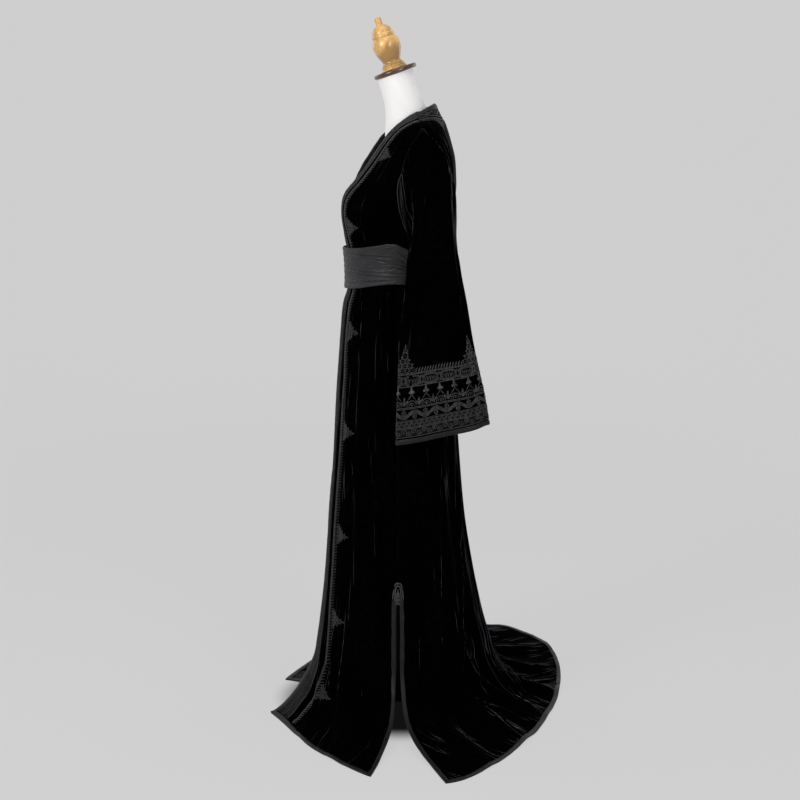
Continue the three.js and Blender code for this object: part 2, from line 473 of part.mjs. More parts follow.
for (const [side, s] of [['left', 1], ['right', -1]]) {
  const f = (u, v) => { const p = sleeve(u * 2 * Math.PI, clamp(v, 0, SLEEVE_LAST)); return [s * p[0], p[1], p[2]]; };
  const cols = () => { const u = []; for (let i = 0; i < S_COLS; i++) u.push((i + 0.5) / S_COLS); return u; };
  const upCuff = (d) => ({ up: (u) => SLEEVE_LAST - d / dist(f(u, SLEEVE_LAST), f(u, SLEEVE_LAST - 1)) });
  const rows = [];
  for (let w = 0; w < SLEEVE_LAST; w++) rows.push(w);
  rows.push(upCuff(CUFF_BRAID[1]), upCuff((CUFF_BRAID[0] + CUFF_BINDING[1]) / 2), SLEEVE_LAST);
  const g = gridOf(f, -s, cols, rows, true), n = rows.length - 1, gap = (CUFF_BRAID[0] - CUFF_BINDING[1]) / 2;
  put(`${side}_sleeve`, wall(g, { t0: 0, t1: WALL }), 'velvet');
  put(`${side}_cuff_binding`, wall(g, { j0: n - 1, t0: TOP, t1: TOP + SATIN, trim: [0, 0, gap, 0] }), 'satin');
  put(`${side}_cuff_braid`, wall(g, { j0: n - 2, j1: n - 1, t0: TOP, t1: TOP + BRAID, trim: [0, 0, 0, gap] }), 'braid');

  // cord piping in the corner between body and sleeve
  const pts = 18, around = 5, R = 1.5, mid = [0, 50, 1372], rings = [];
  for (let i = 0; i < pts; i++) {
    const phi = (i + 0.5) / pts * 2 * Math.PI, a = armhole(phi);
    const o = norm([0, a[1] - mid[1], a[2] - mid[2]]);
    const c = add([s * (a[0] + 1.2), a[1], a[2]], o, 5.6 + (Math.cos(phi) > 0 ? 2.2 : 4.2) * Math.cos(phi) ** 2 + 2.4 * Math.max(0, -Math.sin(phi)));
    const ring2 = [];
    for (let j = 0; j < around; j++) { const t = j / around * 2 * Math.PI; ring2.push(add(add(c, o, R * Math.cos(t)), [s, 0, 0], R * Math.sin(t))); }
    rings.push(ring2);
  }
  const pos = [], idx = [];
  for (const r of rings) for (const p of r) pos.push(...p);
  for (let i = 0; i < pts; i++) for (let j = 0; j < around; j++) {
    const a = i * around + j, b = i * around + (j + 1) % around, c = ((i + 1) % pts) * around + j, d = ((i + 1) % pts) * around + (j + 1) % around;
    s > 0 ? idx.push(a, d, b, a, c, d) : idx.push(a, b, d, a, d, c);
  }
  const cord = new THREE.BufferGeometry();
  cord.setAttribute('position', new THREE.Float32BufferAttribute(pos, 3));
  cord.setIndex(idx);
  put(`${side}_arm_piping`, cord, 'satin');
}

// knots at the tops of the slits -------------------------------
for (const [side, s] of [['left', 1], ['right', -1]]) {
  const g = new THREE.SphereGeometry(1, 12, 7);
  g.scale(SLIT_KNOT.x, SLIT_KNOT.y, SLIT_KNOT.h);
  g.translate(s * (239 + WALL + LIFT + SATIN + LIFT + SLIT_KNOT.x), -5, SLIT_KNOT.z);
  put(`${side}_slit_knot`, g, 'braid');
}

// sash -----------------------------------------------------------
{
  // the closed girth of the bodice and skirt at a height, by angle from centre front towards the left
  const girth = (deg, z) => {
    const a = ((deg % 360) + 360) % 360, side = a <= 180 ? 1 : -1, b = side > 0 ? a : 360 - a;
    const table = b <= 90 ? FRONT : BACK, frac = b <= 90 ? b / 90 : (180 - b) / 90;
    let v = 8; while (v < 14 && level(table, v)[2] > z) v += 0.02;
    const line = (u) => section(level(table, v), u), from = b <= 90 ? 0.1 : 0;
    const u = inFrom(line, 0, frac * (rowLength(line, 0, from, 1) - 0.01), from, 1), p = line(u);
    return [frac < 0.001 ? 0 : side * p[0], p[1], z];
  };
  const f = (u, v) => {
    const deg = u * 360, top = column(SASH_EDGE, (deg % 360 + 360) % 360, 1), bottom = column(SASH_EDGE, (deg % 360 + 360) % 360, 2);
    return girth(deg, lerp(top, bottom, v / SASH.rows));
  };
  const pleated = (u, v) => {
    const p = f(u, v), turn = 360 * (u - Math.round(u));
    // a little further out where the fronts lap
    const push = SASH.inset + (Math.round(v) % 2 ? SASH.pleat : 0) + SASH.lap * bump(turn, 32), l = Math.hypot(p[0], p[1] + 20);
    return [p[0] * (1 + push / l), p[1] + (p[1] + 20) * push / l, p[2]];
  };
  const P = [], N = [];
  for (let j = 0; j <= SASH.rows; j++) {
    const ring = [];
    for (let i = 0; i < SASH.cols; i++) ring.push(pleated(i / SASH.cols, j));
    P.push(ring);
    N.push(ring.map((p) => norm([p[0], p[1] + 20, 0])));
  }
  put('sash', wall({ P, N, out: 1, closed: true }, { t0: 0, t1: SASH.thick }), 'satin');
}

// dress form -------------------------------------------------------
{
  const body = (table) => loft(table.map(([z, yf, yb, hx, tilt]) => {
    const ring = [], cy = (yf + yb) / 2, hy = (yb - yf) / 2;
    for (let i = 0; i < FORM_SIDES; i++) {
      const a = i / FORM_SIDES * 2 * Math.PI;
      ring.push([hx * Math.cos(a), cy + hy * Math.sin(a), z + hy * Math.sin(a) * Math.tan(tilt * rad)]);
    }
    return ring;
  }));
  const solid = (g) => {
    const m = mergeVertices(g, 1e-4);
    return new wasm.Manifold(new wasm.Mesh({ numProp: 3, vertProperties: new Float32Array(m.attributes.position.array), triVerts: new Uint32Array(m.index.array) }));
  };
  const joined = solid(body(FORM)).add(solid(body(NECK))).getMesh();
  const g = new THREE.BufferGeometry();
  g.setAttribute('position', new THREE.BufferAttribute(new Float32Array(joined.vertProperties), 3));
  g.setIndex(new THREE.BufferAttribute(new Uint32Array(joined.triVerts), 1));
  put('form_torso', g, 'jersey');
  const turned = (profile, name, look, lean) => {
    const g = new THREE.LatheGeometry(profile.map(([r, h]) => new THREE.Vector2(r, h)), 26);
    g.rotateX(Math.PI / 2);
    g.rotateX(lean * rad);
    g.translate(...CAP_FOOT);
    put(name, g, look);
  };
  turned(FLANGE_PROFILE, 'form_neck_flange', 'darkwood', CAP_LEAN);
  turned(FINIAL_PROFILE, 'form_finial', 'wood', FINIAL_LEAN);
  const pole = new THREE.CylinderGeometry(POLE.r, POLE.r, POLE.to - POLE.from, POLE.sides);
  pole.rotateX(Math.PI / 2);
  pole.translate(0, 0, (POLE.to + POLE.from) / 2);
  put('stand_pole', pole, 'darkwood');

  // flat three-legged foot: a round hub with a leg to the front and two to the back
  const shape = new THREE.Shape(), out = [];
  for (let k = 0; k < 3; k++) {
    const a = (-90 + 120 * k) * rad, w = FOOT.leg / 2, d = [Math.cos(a), Math.sin(a)], n = [-d[1], d[0]];
    const root = Math.sqrt(FOOT.hub ** 2 - w ** 2);
    const at = (r, s) => [d[0] * r + n[0] * s, d[1] * r + n[1] * s];
    out.push(at(root, -w), at(FOOT.reach - w, -w), at(FOOT.reach, -w * 0.4), at(FOOT.reach, w * 0.4), at(FOOT.reach - w, w), at(root, w));
    const from = Math.atan2(w, root), to = 120 * rad - from;
    for (let i = 1; i < 6; i++) { const t = a + lerp(from, to, i / 6); out.push([FOOT.hub * Math.cos(t), FOOT.hub * Math.sin(t)]); }
  }
  out.forEach(([x, y], i) => (i ? shape.lineTo(x, y) : shape.moveTo(x, y)));
  shape.closePath();
  put('stand_foot', new THREE.ExtrudeGeometry(shape, { depth: FOOT.thick, bevelEnabled: false }), 'iron');
}

export default model;
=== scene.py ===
import math
import bpy
import numpy as np
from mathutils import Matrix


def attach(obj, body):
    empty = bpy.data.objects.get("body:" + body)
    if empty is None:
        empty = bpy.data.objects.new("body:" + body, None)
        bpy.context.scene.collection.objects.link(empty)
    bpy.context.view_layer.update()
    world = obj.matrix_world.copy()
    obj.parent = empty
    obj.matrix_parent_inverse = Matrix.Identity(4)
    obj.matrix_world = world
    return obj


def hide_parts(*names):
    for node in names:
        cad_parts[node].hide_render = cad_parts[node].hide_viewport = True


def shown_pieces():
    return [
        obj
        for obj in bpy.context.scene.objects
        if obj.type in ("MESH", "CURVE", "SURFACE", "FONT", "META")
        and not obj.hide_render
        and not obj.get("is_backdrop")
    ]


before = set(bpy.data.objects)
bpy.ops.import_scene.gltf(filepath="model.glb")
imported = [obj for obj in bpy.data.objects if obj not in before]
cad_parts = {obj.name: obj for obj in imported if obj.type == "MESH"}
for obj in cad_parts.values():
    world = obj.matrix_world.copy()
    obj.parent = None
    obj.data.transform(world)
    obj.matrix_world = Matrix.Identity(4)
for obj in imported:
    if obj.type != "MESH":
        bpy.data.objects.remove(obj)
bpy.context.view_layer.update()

MM = 0.001

# ------------------------------------------------------------------ driving sizes, in millimetres
WALL, LIFT = 2.0, 0.3
TOP = WALL + LIFT
LAST, FALL_ROWS, FLOOR_Z, UNDERLAP = 20, 6, 1.0, 10.0
V_HEM = LAST + FALL_ROWS
SLIT_V = 18.3

FRONT = np.array([
    [70, 44, 1555, 78, 45, 1553, .33, .33, 0], [67, 14, 1537, 126, 47, 1533, .33, .33, 1],
    [62, -21, 1508, 184, 51, 1510, .33, .33, 3], [56, -46, 1476, 190, 26, 1466, .40, .42, 3],
    [47, -70, 1440, 186, 10, 1424, .44, .48, 3], [30, -106, 1390, 179, 0, 1374, .48, .52, 5],
    [10, -140, 1347, 172, 2, 1329, .52, .55, 8], [-6, -147, 1300, 164, 12, 1288, .56, .58, 8],
    [-12, -141, 1250, 157, 28, 1250, .56, .56, 5], [-15, -135, 1212, 143, 22, 1212, .55, .55, 2],
    [-16, -131, 1160, 128, 8, 1160, .55, .55, 0], [-16, -132, 1110, 136, 0, 1112, .55, .55, 0],
    [-14, -146, 1060, 160, -4, 1060, .55, .55, 0], [-10, -152, 980, 187, -5, 980, .56, .56, 2],
    [-6, -158, 890, 199, -5, 890, .56, .56, 3], [0, -165, 780, 207, -5, 780, .56, .56, 3],
    [8, -174, 640, 214, -5, 640, .56, .56, 2], [18, -186, 500, 224, -5, 500, .56, .56, 0],
    [32, -195, 375, 236, -5, 372, .56, .56, 0], [50, -206, 262, 247, -8, 260, .56, .56, 0],
    [70, -219, 165, 256, -9, 160, .56, .56, 0]], float)
BACK = np.array([
    [0, 80, 1568, 70, 45, 1556, .55, .50, 0], [0, 99, 1549, 124, 50, 1535, .50, .40, 0],
    [0, 116, 1522, 184, 58, 1510, .50, .42, 2], [0, 129, 1480, 190, 86, 1466, .52, .46, 3],
    [0, 138, 1440, 186, 101, 1424, .54, .50, 4], [0, 141, 1390, 179, 107, 1374, .56, .50, 4],
    [0, 139, 1347, 172, 102, 1329, .56, .52, 4], [0, 129, 1300, 164, 78, 1288, .56, .54, 4],
    [0, 110, 1250, 157, 30, 1250, .56, .56, 3], [0, 90, 1212, 143, 22, 1212, .56, .56, 2],
    [0, 72, 1160, 128, 8, 1160, .55, .55, 0], [0, 76, 1110, 136, 0, 1112, .55, .55, 0],
    [0, 100, 1060, 160, -4, 1060, .55, .55, 0], [0, 124, 980, 187, -5, 980, .56, .56, 2],
    [0, 137, 890, 199, -5, 890, .56, .56, 3], [0, 143, 780, 207, -5, 780, .56, .56, 3],
    [0, 150, 640, 214, -5, 640, .56, .56, 2], [0, 164, 500, 224, -5, 500, .56, .56, 0],
    [0, 184, 375, 236, -5, 372, .56, .56, 0], [0, 207, 262, 247, -2, 260, .56, .56, 0],
    [0, 232, 165, 256, -1, 160, .56, .56, 0]], float)
HEM_LEFT_FRONT = [[131, -339], [205, -302], [356, -235], [437, -186], [514, -135], [571, -80]]
HEM_RIGHT_FRONT = [[132, -317], [207, -290], [350, -230], [432, -184], [512, -134], [570, -80]]
HEM_BACK = [[613, 106], [583, 157], [507, 220], [428, 269], [346, 312], [261, 351], [172, 381], [80, 407],
            [-16, 428], [-174, 448], [-330, 451], [-442, 434], [-545, 389], [-622, 304], [-645, 200], [-634, 106]]
# u, outward depth, half width in u, top z, bottom z, drift of u per metre down
FRONT_FOLDS = [[.27, 6, .10, 1080, 40, .02], [.45, 5, .09, 900, 20, .03], [.63, 9, .09, 1090, 60, -.02], [.82, 8, .08, 960, 20, .02]]
BACK_FOLDS = [[.90, 8, .07, 1040, 30, .02], [.73, 10, .08, 1090, 10, -.03], [.50, 7, .09, 960, 30, .03], [.27, 10, .09, 1080, 10, .02],
              [.04, 7, .09, 900, 20, 0], [-.20, 9, .09, 1060, 10, -.02], [-.43, 7, .09, 980, 20, .02], [-.65, 10, .08, 1080, 10, .02],
              [-.87, 8, .07, 1000, 30, -.02]]
FRONT_RIPPLES = [[.40, 9, .10], [.72, 12, .09]]
BACK_RIPPLES = [[.80, 14, .07], [.55, 18, .08], [.30, 16, .08], [.06, 20, .08], [-.20, 16, .08], [-.46, 22, .08], [-.72, 26, .09]]
# level, outer edge of the border, both edges of the trim, in from the front edge
BORDERS = np.array([[0, 52, 66, 82], [10.5, 52, 66, 82], [12.7, 68, 92, 108], [14, 76, 106, 122], [26, 76, 106, 122]], float)
SLEEVE = np.array([
    [190, 1512, 160, 1248, 50, 55, 0], [216, 1500, 174, 1236, 61.5, 58.5, 0], [242, 1466, 186, 1220, 70.5, 64.5, 0],
    [259, 1412, 195, 1200, 75, 61, 0], [270, 1340, 202, 1172, 81.5, 55.5, 0], [278, 1240, 208, 1116, 82, 66, 2],
    [284, 1120, 214, 1040, 86, 79, 8], [289, 985, 220, 940, 92, 92, 14], [293, 868, 224, 848, 100, 106, 20],
    [296, 771, 228, 768, 106, 114, 26]], float)
SLEEVE_LAST = 9
SLEEVE_FOLDS = [[62, 6, 26, 3], [20, -5, 24, 3], [-32, 6, 28, 4], [-72, -5, 24, 3], [180, -6, 40, 5]]
SASH_EDGE = np.array([[0, 1213, 1107], [30, 1215, 1112], [60, 1227, 1124], [76, 1236, 1130], [92, 1208, 1129], [120, 1208, 1124],
                      [180, 1208, 1118], [240, 1208, 1124], [268, 1208, 1129], [284, 1236, 1130], [300, 1227, 1124], [330, 1215, 1112],
                      [360, 1213, 1107]], float)
FORM = np.array([
    [880, -128, 112, 168, 0], [900, -134, 118, 176, 0], [960, -132, 110, 170, 0], [1040, -122, 84, 144, 0],
    [1100, -116, 60, 122, 0], [1160, -113, 56, 112, 0], [1230, -120, 76, 122, 0], [1300, -126, 110, 144, 0],
    [1345, -114, 120, 152, 0], [1390, -86, 122, 160, 0], [1435, -50, 118, 166, 0], [1470, -28, 110, 168, 0],
    [1492, -12, 102, 160, 0], [1510, 0, 94, 132, 0], [1525, 8, 86, 98, 0], [1540, 22, 74, 52, 0]], float)
NECK = np.array([
    [1420, -20, 70, 46, 0], [1470, -36, 74, 51, 0], [1500, -38, 76, 54, 0], [1530, -37, 75, 55, 2],
    [1555, -37, 68, 54, 6], [1580, -39, 57, 52, 11], [1610, -45, 44, 50, 15], [1651.4, -56, 32, 48, 19]], float)
CAP_FOOT, CAP_LEAN = (0, -10.2, 1652.4), 19
FLANGE_PROFILE = [[0, 0], [53, 0], [55.5, 2], [56, 5.5], [55, 9], [52, 11], [33, 11.5], [0, 11.5]]
FINIAL_PROFILE = [
    [0, 11.9], [31, 11.9], [32.5, 14], [32, 16.5], [29.5, 18], [30.5, 20], [29.5, 22], [27.2, 23.5], [27.8, 25.5], [25, 28],
    [23.2, 31], [23.6, 35], [26.2, 41], [30.4, 51], [34, 61], [35.8, 71], [35.6, 79], [33, 87.5], [28.5, 93.5], [27.6, 95.5],
    [29.2, 97.5], [29.4, 101.5], [28, 104.5], [26.2, 106], [25.4, 111], [21.5, 118.5], [14, 124.5], [9.4, 126.5], [8.8, 131],
    [9, 141], [7.4, 145.5], [0, 147]]


# ------------------------------------------------------------------ small maths
def lerp(a, b, t):
    return a + (b - a) * t


def sm(a, b, x):
    t = np.clip((x - a) / (b - a), 0, 1)
    return t * t * (3 - 2 * t)


def bump(d, half):
    return np.where(np.abs(d) >= half, 0, 0.5 + 0.5 * np.cos(np.pi * np.clip(d / half, -1, 1)))


def unit(a):
    return a / np.maximum(np.linalg.norm(a, axis=-1, keepdims=True), 1e-9)


def level(T, v):
    v = np.asarray(v, float)
    n = len(T) - 1
    i = np.clip(np.floor(v).astype(int), 0, n - 1)
    t = (v - i)[..., None]
    p, q, r, s = T[np.maximum(i - 1, 0)], T[i], T[i + 1], T[np.minimum(i + 2, n)]
    return 0.5 * (2 * q + (r - p) * t + (2 * p - 5 * q + 4 * r - s) * t * t + (3 * q - p - 3 * r + s) * t ** 3)


def curve(points, n):
    """A smooth line through a few points, as n points evenly spaced in the parameter."""
    P = np.array(points, float)
    return level(P, np.linspace(0, len(P) - 1, n))


def along(line, t):
    P = curve(line, 12 * len(line))
    s = np.r_[0, np.cumsum(np.linalg.norm(np.diff(P, axis=0), axis=1))]
    w = np.clip(t, 0, 1) * s[-1]
    return np.interp(w, s, P[:, 0]), np.interp(w, s, P[:, 1])


def hash2(i, j, seed):
    h = np.sin(i * 127.1 + j * 311.7 + seed * 74.7) * 43758.5453
    return h - np.floor(h)


def noise(x, y, seed=0):
    """Smooth value noise, -1 to 1."""
    i, j = np.floor(x), np.floor(y)
    a, b = x - i, y - j
    a, b = a * a * (3 - 2 * a), b * b * (3 - 2 * b)
    v = lerp(lerp(hash2(i, j, seed), hash2(i + 1, j, seed), a), lerp(hash2(i, j + 1, seed), hash2(i + 1, j + 1, seed), a), b)
    return v * 2 - 1


# ------------------------------------------------------------------ the cloth's surfaces (the same form as the solids)
def section(row, u):
    ex, ey, ez, ax, ay, az, k1, k2, full = np.moveaxis(row, -1, 0)
    d = np.where(ey < ay, -1, 1)
    m = 1 - u
    b = [m ** 3, 3 * m * m * u, 3 * m * u * u, u ** 3]
    return np.stack([b[0] * ex + b[1] * (ex + k1 * (ax - ex)) + b[2] * ax + b[3] * ax,
                     b[0] * ey + b[1] * (ey + d * full) + b[2] * (ay + k2 * (ey - ay)) + b[3] * ay,
                     lerp(ez, az, u * u * (3 - 2 * u))], -1)


def fallen(T, u, v, hem, folds, ripples, us, edge=0.62):
    u, v, us = np.broadcast_arrays(np.asarray(u, float), np.asarray(v, float), np.asarray(us, float))
    p = section(level(T, np.minimum(v, LAST)), u)
    p0 = section(level(T, np.full(v.shape, float(LAST))), u)
    d = unit(p0 - section(level(T, np.full(v.shape, LAST - 0.5)), u))
    t = np.clip((v - LAST) / FALL_ROWS, 0, 1)[..., None]
    m = 1 - t
    soft = lerp(edge, 0.62, sm(0, 0.5, u))[..., None]
    h = p0[..., 2:3]
    foot = p0 + d * h
    p3 = np.stack([hem[0], hem[1], np.full(v.shape, FLOOR_Z)], -1)
    p2 = lerp(p3, foot, soft)
    p2[..., 2] = FLOOR_Z + 1
    q = m ** 3 * p0 + 3 * m * m * t * (p0 + d * h * soft) + 3 * m * t * t * p2 + t ** 3 * p3
    tt = t[..., 0]
    for ru, high, half in ripples:
        q[..., 2] += high * bump(us - ru, half) * sm(.25, .6, tt) * (1 - sm(.75, 1, tt) * .8)
    p = np.where(v[..., None] > LAST, q, p)
    z, out = p[..., 2], 0
    for fu, depth, half, top, bottom, drift in folds:
        out = out + depth * bump(us - fu - drift * (top - z) / 1000, half) * sm(top, top - 260, z) * sm(bottom, bottom + 110, z)
    k = 1 + out / np.maximum(np.hypot(p[..., 0], p[..., 1]), 1)
    return np.stack([p[..., 0] * k, p[..., 1] * k, z], -1)


def left_front(u, v):
    return fallen(FRONT, u, v, along(HEM_LEFT_FRONT, np.broadcast_arrays(u, v)[0]), FRONT_FOLDS, FRONT_RIPPLES, u, 0.36)


def right_front(u, v):
    p = fallen(FRONT, u, v, along(HEM_RIGHT_FRONT, np.broadcast_arrays(u, v)[0]), FRONT_FOLDS, FRONT_RIPPLES, u)
    p[..., 1] += UNDERLAP * (1 - sm(.05, .55, u)) * sm(1400, 1335, p[..., 2]) * sm(600, 740, p[..., 2])
    p[..., 0] *= -1
    return p


def back(us, v):
    us, v = np.broadcast_arrays(np.asarray(us, float), np.asarray(v, float))
    hx, hy = along(HEM_BACK, (1 - us) / 2)
    side = np.where(us < 0, -1.0, 1.0)
    p = fallen(BACK, np.abs(us), v, (hx * side, hy), BACK_FOLDS, BACK_RIPPLES, us)
    p[..., 0] *= side
    return p


_vv = np.arange(2, 8.01, 0.02)
_ARM = {k: level(T, _vv) for k, T in (("f", FRONT), ("b", BACK))}


def armhole(phi):
    z = lerp(1250, 1510, (np.cos(phi) + 1) / 2)
    out = []
    for k in "fb":
        r = _ARM[k]
        out.append(np.stack([np.interp(z, r[::-1, 5], r[::-1, c]) for c in (3, 4, 5)], -1))
    a = np.where((np.sin(phi) >= 0)[..., None], out[0], out[1])
    a[..., 0] += 2.9
    return a


def sleeve(u, w):
    u, w = np.broadcast_arrays(np.asarray(u, float), np.asarray(w, float))
    phi = u * 2 * np.pi
    ox, oz, ix, iz, cy, hy, drop = np.moveaxis(level(SLEEVE, w), -1, 0)
    c, s = np.cos(phi), np.sin(phi)
    p = np.stack([lerp(ix, ox, (c + 1) / 2), cy - hy * s, lerp(iz, oz, (c + 1) / 2) - drop * s], -1)
    a = armhole(phi)
    q = 1 - sm(0, 2, w)
    a0 = a.copy()
    a0[..., 0] += 14 * w
    p = np.where((w < 2)[..., None], lerp(p, a0, q[..., None]), p)
    out = 0
    for f, depth, half, frm in SLEEVE_FOLDS:
        d = np.degrees(phi) - f
        d = d - 360 * np.round(d / 360)
        out = out + depth * bump(d, half) * sm(frm, frm + 1.5, w)
    n = unit(np.stack([c * (ox - ix) / 2, -s * hy, np.zeros_like(c)], -1))
    return p + n * np.asarray(out)[..., None]


# ------------------------------------------------------------------ grids, creases and bands
class Panel:
    """A cloth surface sampled on a grid, with creases worked into it."""

    def __init__(self, f, us, vs, out, closed=False):
        self.f, self.us, self.vs, self.out, self.closed = f, np.asarray(us, float), np.asarray(vs, float), out, closed
        self.U, self.V = np.meshgrid(self.us, self.vs)
        self.P = f(self.U, self.V)
        self.N = self.normals()
        self.off = np.zeros(self.U.shape)

    def normals(self):
        if self.closed:
            w = np.concatenate([self.P[:, -2:], self.P, self.P[:, :2]], 1)
            du = np.gradient(w, axis=1)[:, 2:-2]
        else:
            du = np.gradient(self.P, axis=1)
        return unit(np.cross(np.gradient(self.P, axis=0), du)) * self.out

    def crease(self, points, depth, half, ends=0.22, lip=0.28, n=28):
        """A ridge (or trough, for a negative depth) along a line of (u, v) points; half is its half width in mm."""
        uv = curve(points, n)
        L = self.f(uv[:, 0], uv[:, 1])
        reach = half * 2
        lo, hi = L.min(0) - reach, L.max(0) + reach
        mask = ((self.P > lo) & (self.P < hi)).all(-1)
        if not mask.any():
            return
        X = self.P[mask]
        best, tau = np.full(len(X), 1e9), np.zeros(len(X))
        for k in range(n - 1):
            a, b = L[k], L[k + 1]
            ab = b - a
            t = np.clip(((X - a) @ ab) / max(ab @ ab, 1e-9), 0, 1)
            d = np.linalg.norm(X - a - t[:, None] * ab, axis=1)
            m = d < best
            best[m], tau[m] = d[m], (k + t[m]) / (n - 1)
        x = best / (half * 0.85)
        prof = 0.6 * bump(x, 1.0) + 0.4 * bump(x, 0.58) - lip * bump(x - 1.25, 0.75) * (x > 0.5)
        self.off[mask] += depth * prof * sm(0, ends, tau) * sm(1, 1 - ends, tau)

    def add(self, height):
        self.off += height

    def soften(self):
        """Evens the creases out between neighbouring points."""
        for axis in (0, 1):
            w = np.pad(self.off, [(1, 1) if k == axis else (0, 0) for k in (0, 1)], mode="edge")
            a, b = (w[:-2], w[2:]) if axis == 0 else (w[:, :-2], w[:, 2:])
            self.off = self.off * .5 + (a + b) * .25

    def settle(self):
        self.P = self.P + self.N * self.off[..., None]
        self.N = self.normals()

    def lift_floor(self, low=0.6):
        """Nothing goes under the floor."""
        self.P[..., 2] = np.maximum(self.P[..., 2], low)
        self.N = self.normals()

    def at(self, u, v):
        u, v = np.broadcast_arrays(np.asarray(u, float), np.asarray(v, float))
        nu = len(self.us)
        if self.closed:
            x = (u - np.floor(u)) * nu
            i0 = np.floor(x).astype(int)
            fx = (x - i0)[..., None]
            i0, i1 = i0 % nu, (i0 + 1) % nu
        else:
            x = np.interp(u, self.us, np.arange(nu)) if self.us[0] < self.us[-1] else np.interp(u, self.us[::-1], np.arange(nu)[::-1])
            i0 = np.clip(np.floor(x).astype(int), 0, nu - 2)
            fx, i1 = (x - i0)[..., None], i0 + 1
        y = np.interp(v, self.vs, np.arange(len(self.vs)))
        j0 = np.clip(np.floor(y).astype(int), 0, len(self.vs) - 2)
        fy, j1 = (y - j0)[..., None], j0 + 1
        get = lambda G: lerp(lerp(G[j0, i0], G[j0, i1], fx), lerp(G[j1, i0], G[j1, i1], fx), fy)
        return get(self.P), unit(get(self.N))


class Band:
    """Places on a panel by (t, d): t along one of its edges, d in from that edge, both in mm."""

    def __init__(self, panel, U, V, dmax, mid=0.0, closed=False):
        P, N = panel.at(U, V)
        self.step, nd = 2.0, int(dmax / 2) + 2
        d = np.arange(nd) * self.step
        self.P, self.N = np.zeros((len(P), nd, 3)), np.zeros((len(P), nd, 3))
        self.wide, self.scale = np.zeros(len(P)), None
        for k in range(len(P)):
            s = np.r_[0, np.cumsum(np.linalg.norm(np.diff(P[k], axis=0), axis=1))]
            self.wide[k] = s[-1]
            for c in range(3):
                self.P[k, :, c] = np.interp(d, s, P[k, :, c])
                self.N[k, :, c] = np.interp(d, s, N[k, :, c])
        if closed:
            self.P, self.N = np.concatenate([self.P, self.P[:1]]), np.concatenate([self.N, self.N[:1]])
        self.closed = closed
        m = self.P[:, int(mid / self.step)]
        self.T = np.r_[0, np.cumsum(np.linalg.norm(np.diff(m, axis=0), axis=1))]
        self.length = self.T[-1]

    def at(self, t, d):
        t, d = np.broadcast_arrays(np.asarray(t, float), np.asarray(d, float))
        if self.closed:
            t = t % self.length
        if self.scale is not None:
            d = d * self.scale(t)
        x = np.interp(t, self.T, np.arange(len(self.T)))
        i = np.clip(np.floor(x).astype(int), 0, len(self.T) - 2)
        fx = (x - i)[..., None]
        y = d / self.step
        j = np.clip(np.floor(y).astype(int), 0, self.P.shape[1] - 2)
        fy = (y - j)[..., None]
        get = lambda G: lerp(lerp(G[i, j], G[i, j + 1], fy), lerp(G[i + 1, j], G[i + 1, j + 1], fy), fx)
        gn = lambda G: lerp(lerp(G[i, j], G[i, j + 1], np.clip(fy, 0, 1)), lerp(G[i + 1, j], G[i + 1, j + 1], np.clip(fy, 0, 1)), fx)
        return get(self.P), unit(gn(self.N))


# ------------------------------------------------------------------ meshes
MATS = {}


class Heap:
    def __init__(self):
        self.V, self.Q, self.T, self.uv, self.n = [], [], [], [], 0

    def add(self, V, quads=None, tris=None, uv=None):
        V = np.asarray(V, float).reshape(-1, 3)
        if quads is not None and len(quads):
            self.Q.append(np.asarray(quads, int).reshape(-1, 4) + self.n)
        if tris is not None and len(tris):
            self.T.append(np.asarray(tris, int).reshape(-1, 3) + self.n)
        self.V.append(V)
        self.uv.append(np.zeros((len(V), 2)) if uv is None else np.asarray(uv, float).reshape(-1, 2))
        self.n += len(V)

    def make(self, name, material, slot, replaces=(), sharp=48):
        V = np.concatenate(self.V) * MM
        uv = np.concatenate(self.uv) * MM
        Q = np.concatenate(self.Q) if self.Q else np.zeros((0, 4), int)
        T = np.concatenate(self.T) if self.T else np.zeros((0, 3), int)
        me = bpy.data.meshes.new(name)
        me.vertices.add(len(V))
        me.vertices.foreach_set("co", V.ravel())
        loops = np.concatenate([Q.ravel(), T.ravel()])
        me.loops.add(len(loops))
        me.loops.foreach_set("vertex_index", loops)
        starts = np.concatenate([np.arange(len(Q)) * 4, len(Q) * 4 + np.arange(len(T)) * 3])
        me.polygons.add(len(starts))
        me.polygons.foreach_set("loop_start", starts)
        me.update(calc_edges=True)
        me.validate()
        me.polygons.foreach_set("use_smooth", np.ones(len(me.polygons), bool))
        layer = me.uv_layers.new(name="cloth")
        vi = np.zeros(len(me.loops), int)
        me.loops.foreach_get("vertex_index", vi)
        layer.data.foreach_set("uv", uv[vi].ravel())
        if sharp:
            me.set_sharp_from_angle(angle=math.radians(sharp))
        ob = bpy.data.objects.new(name, me)
        bpy.context.scene.collection.objects.link(ob)
        me.materials.append(MATS[material])
        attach(ob, "root")
        if replaces:
            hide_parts(*replaces)
        return ob


def sheet_faces(nj, ni, closed, flip):
    """Quads of a grid of nj rows and ni columns."""
    cols = ni if closed else ni - 1
    j, i = np.meshgrid(np.arange(nj - 1), np.arange(cols), indexing="ij")
    a, b = j * ni + i, j * ni + (i + 1) % ni
    c, d = b + ni, a + ni
    q = np.stack([a, b, c, d], -1).reshape(-1, 4)
    return q[:, ::-1] if flip else q


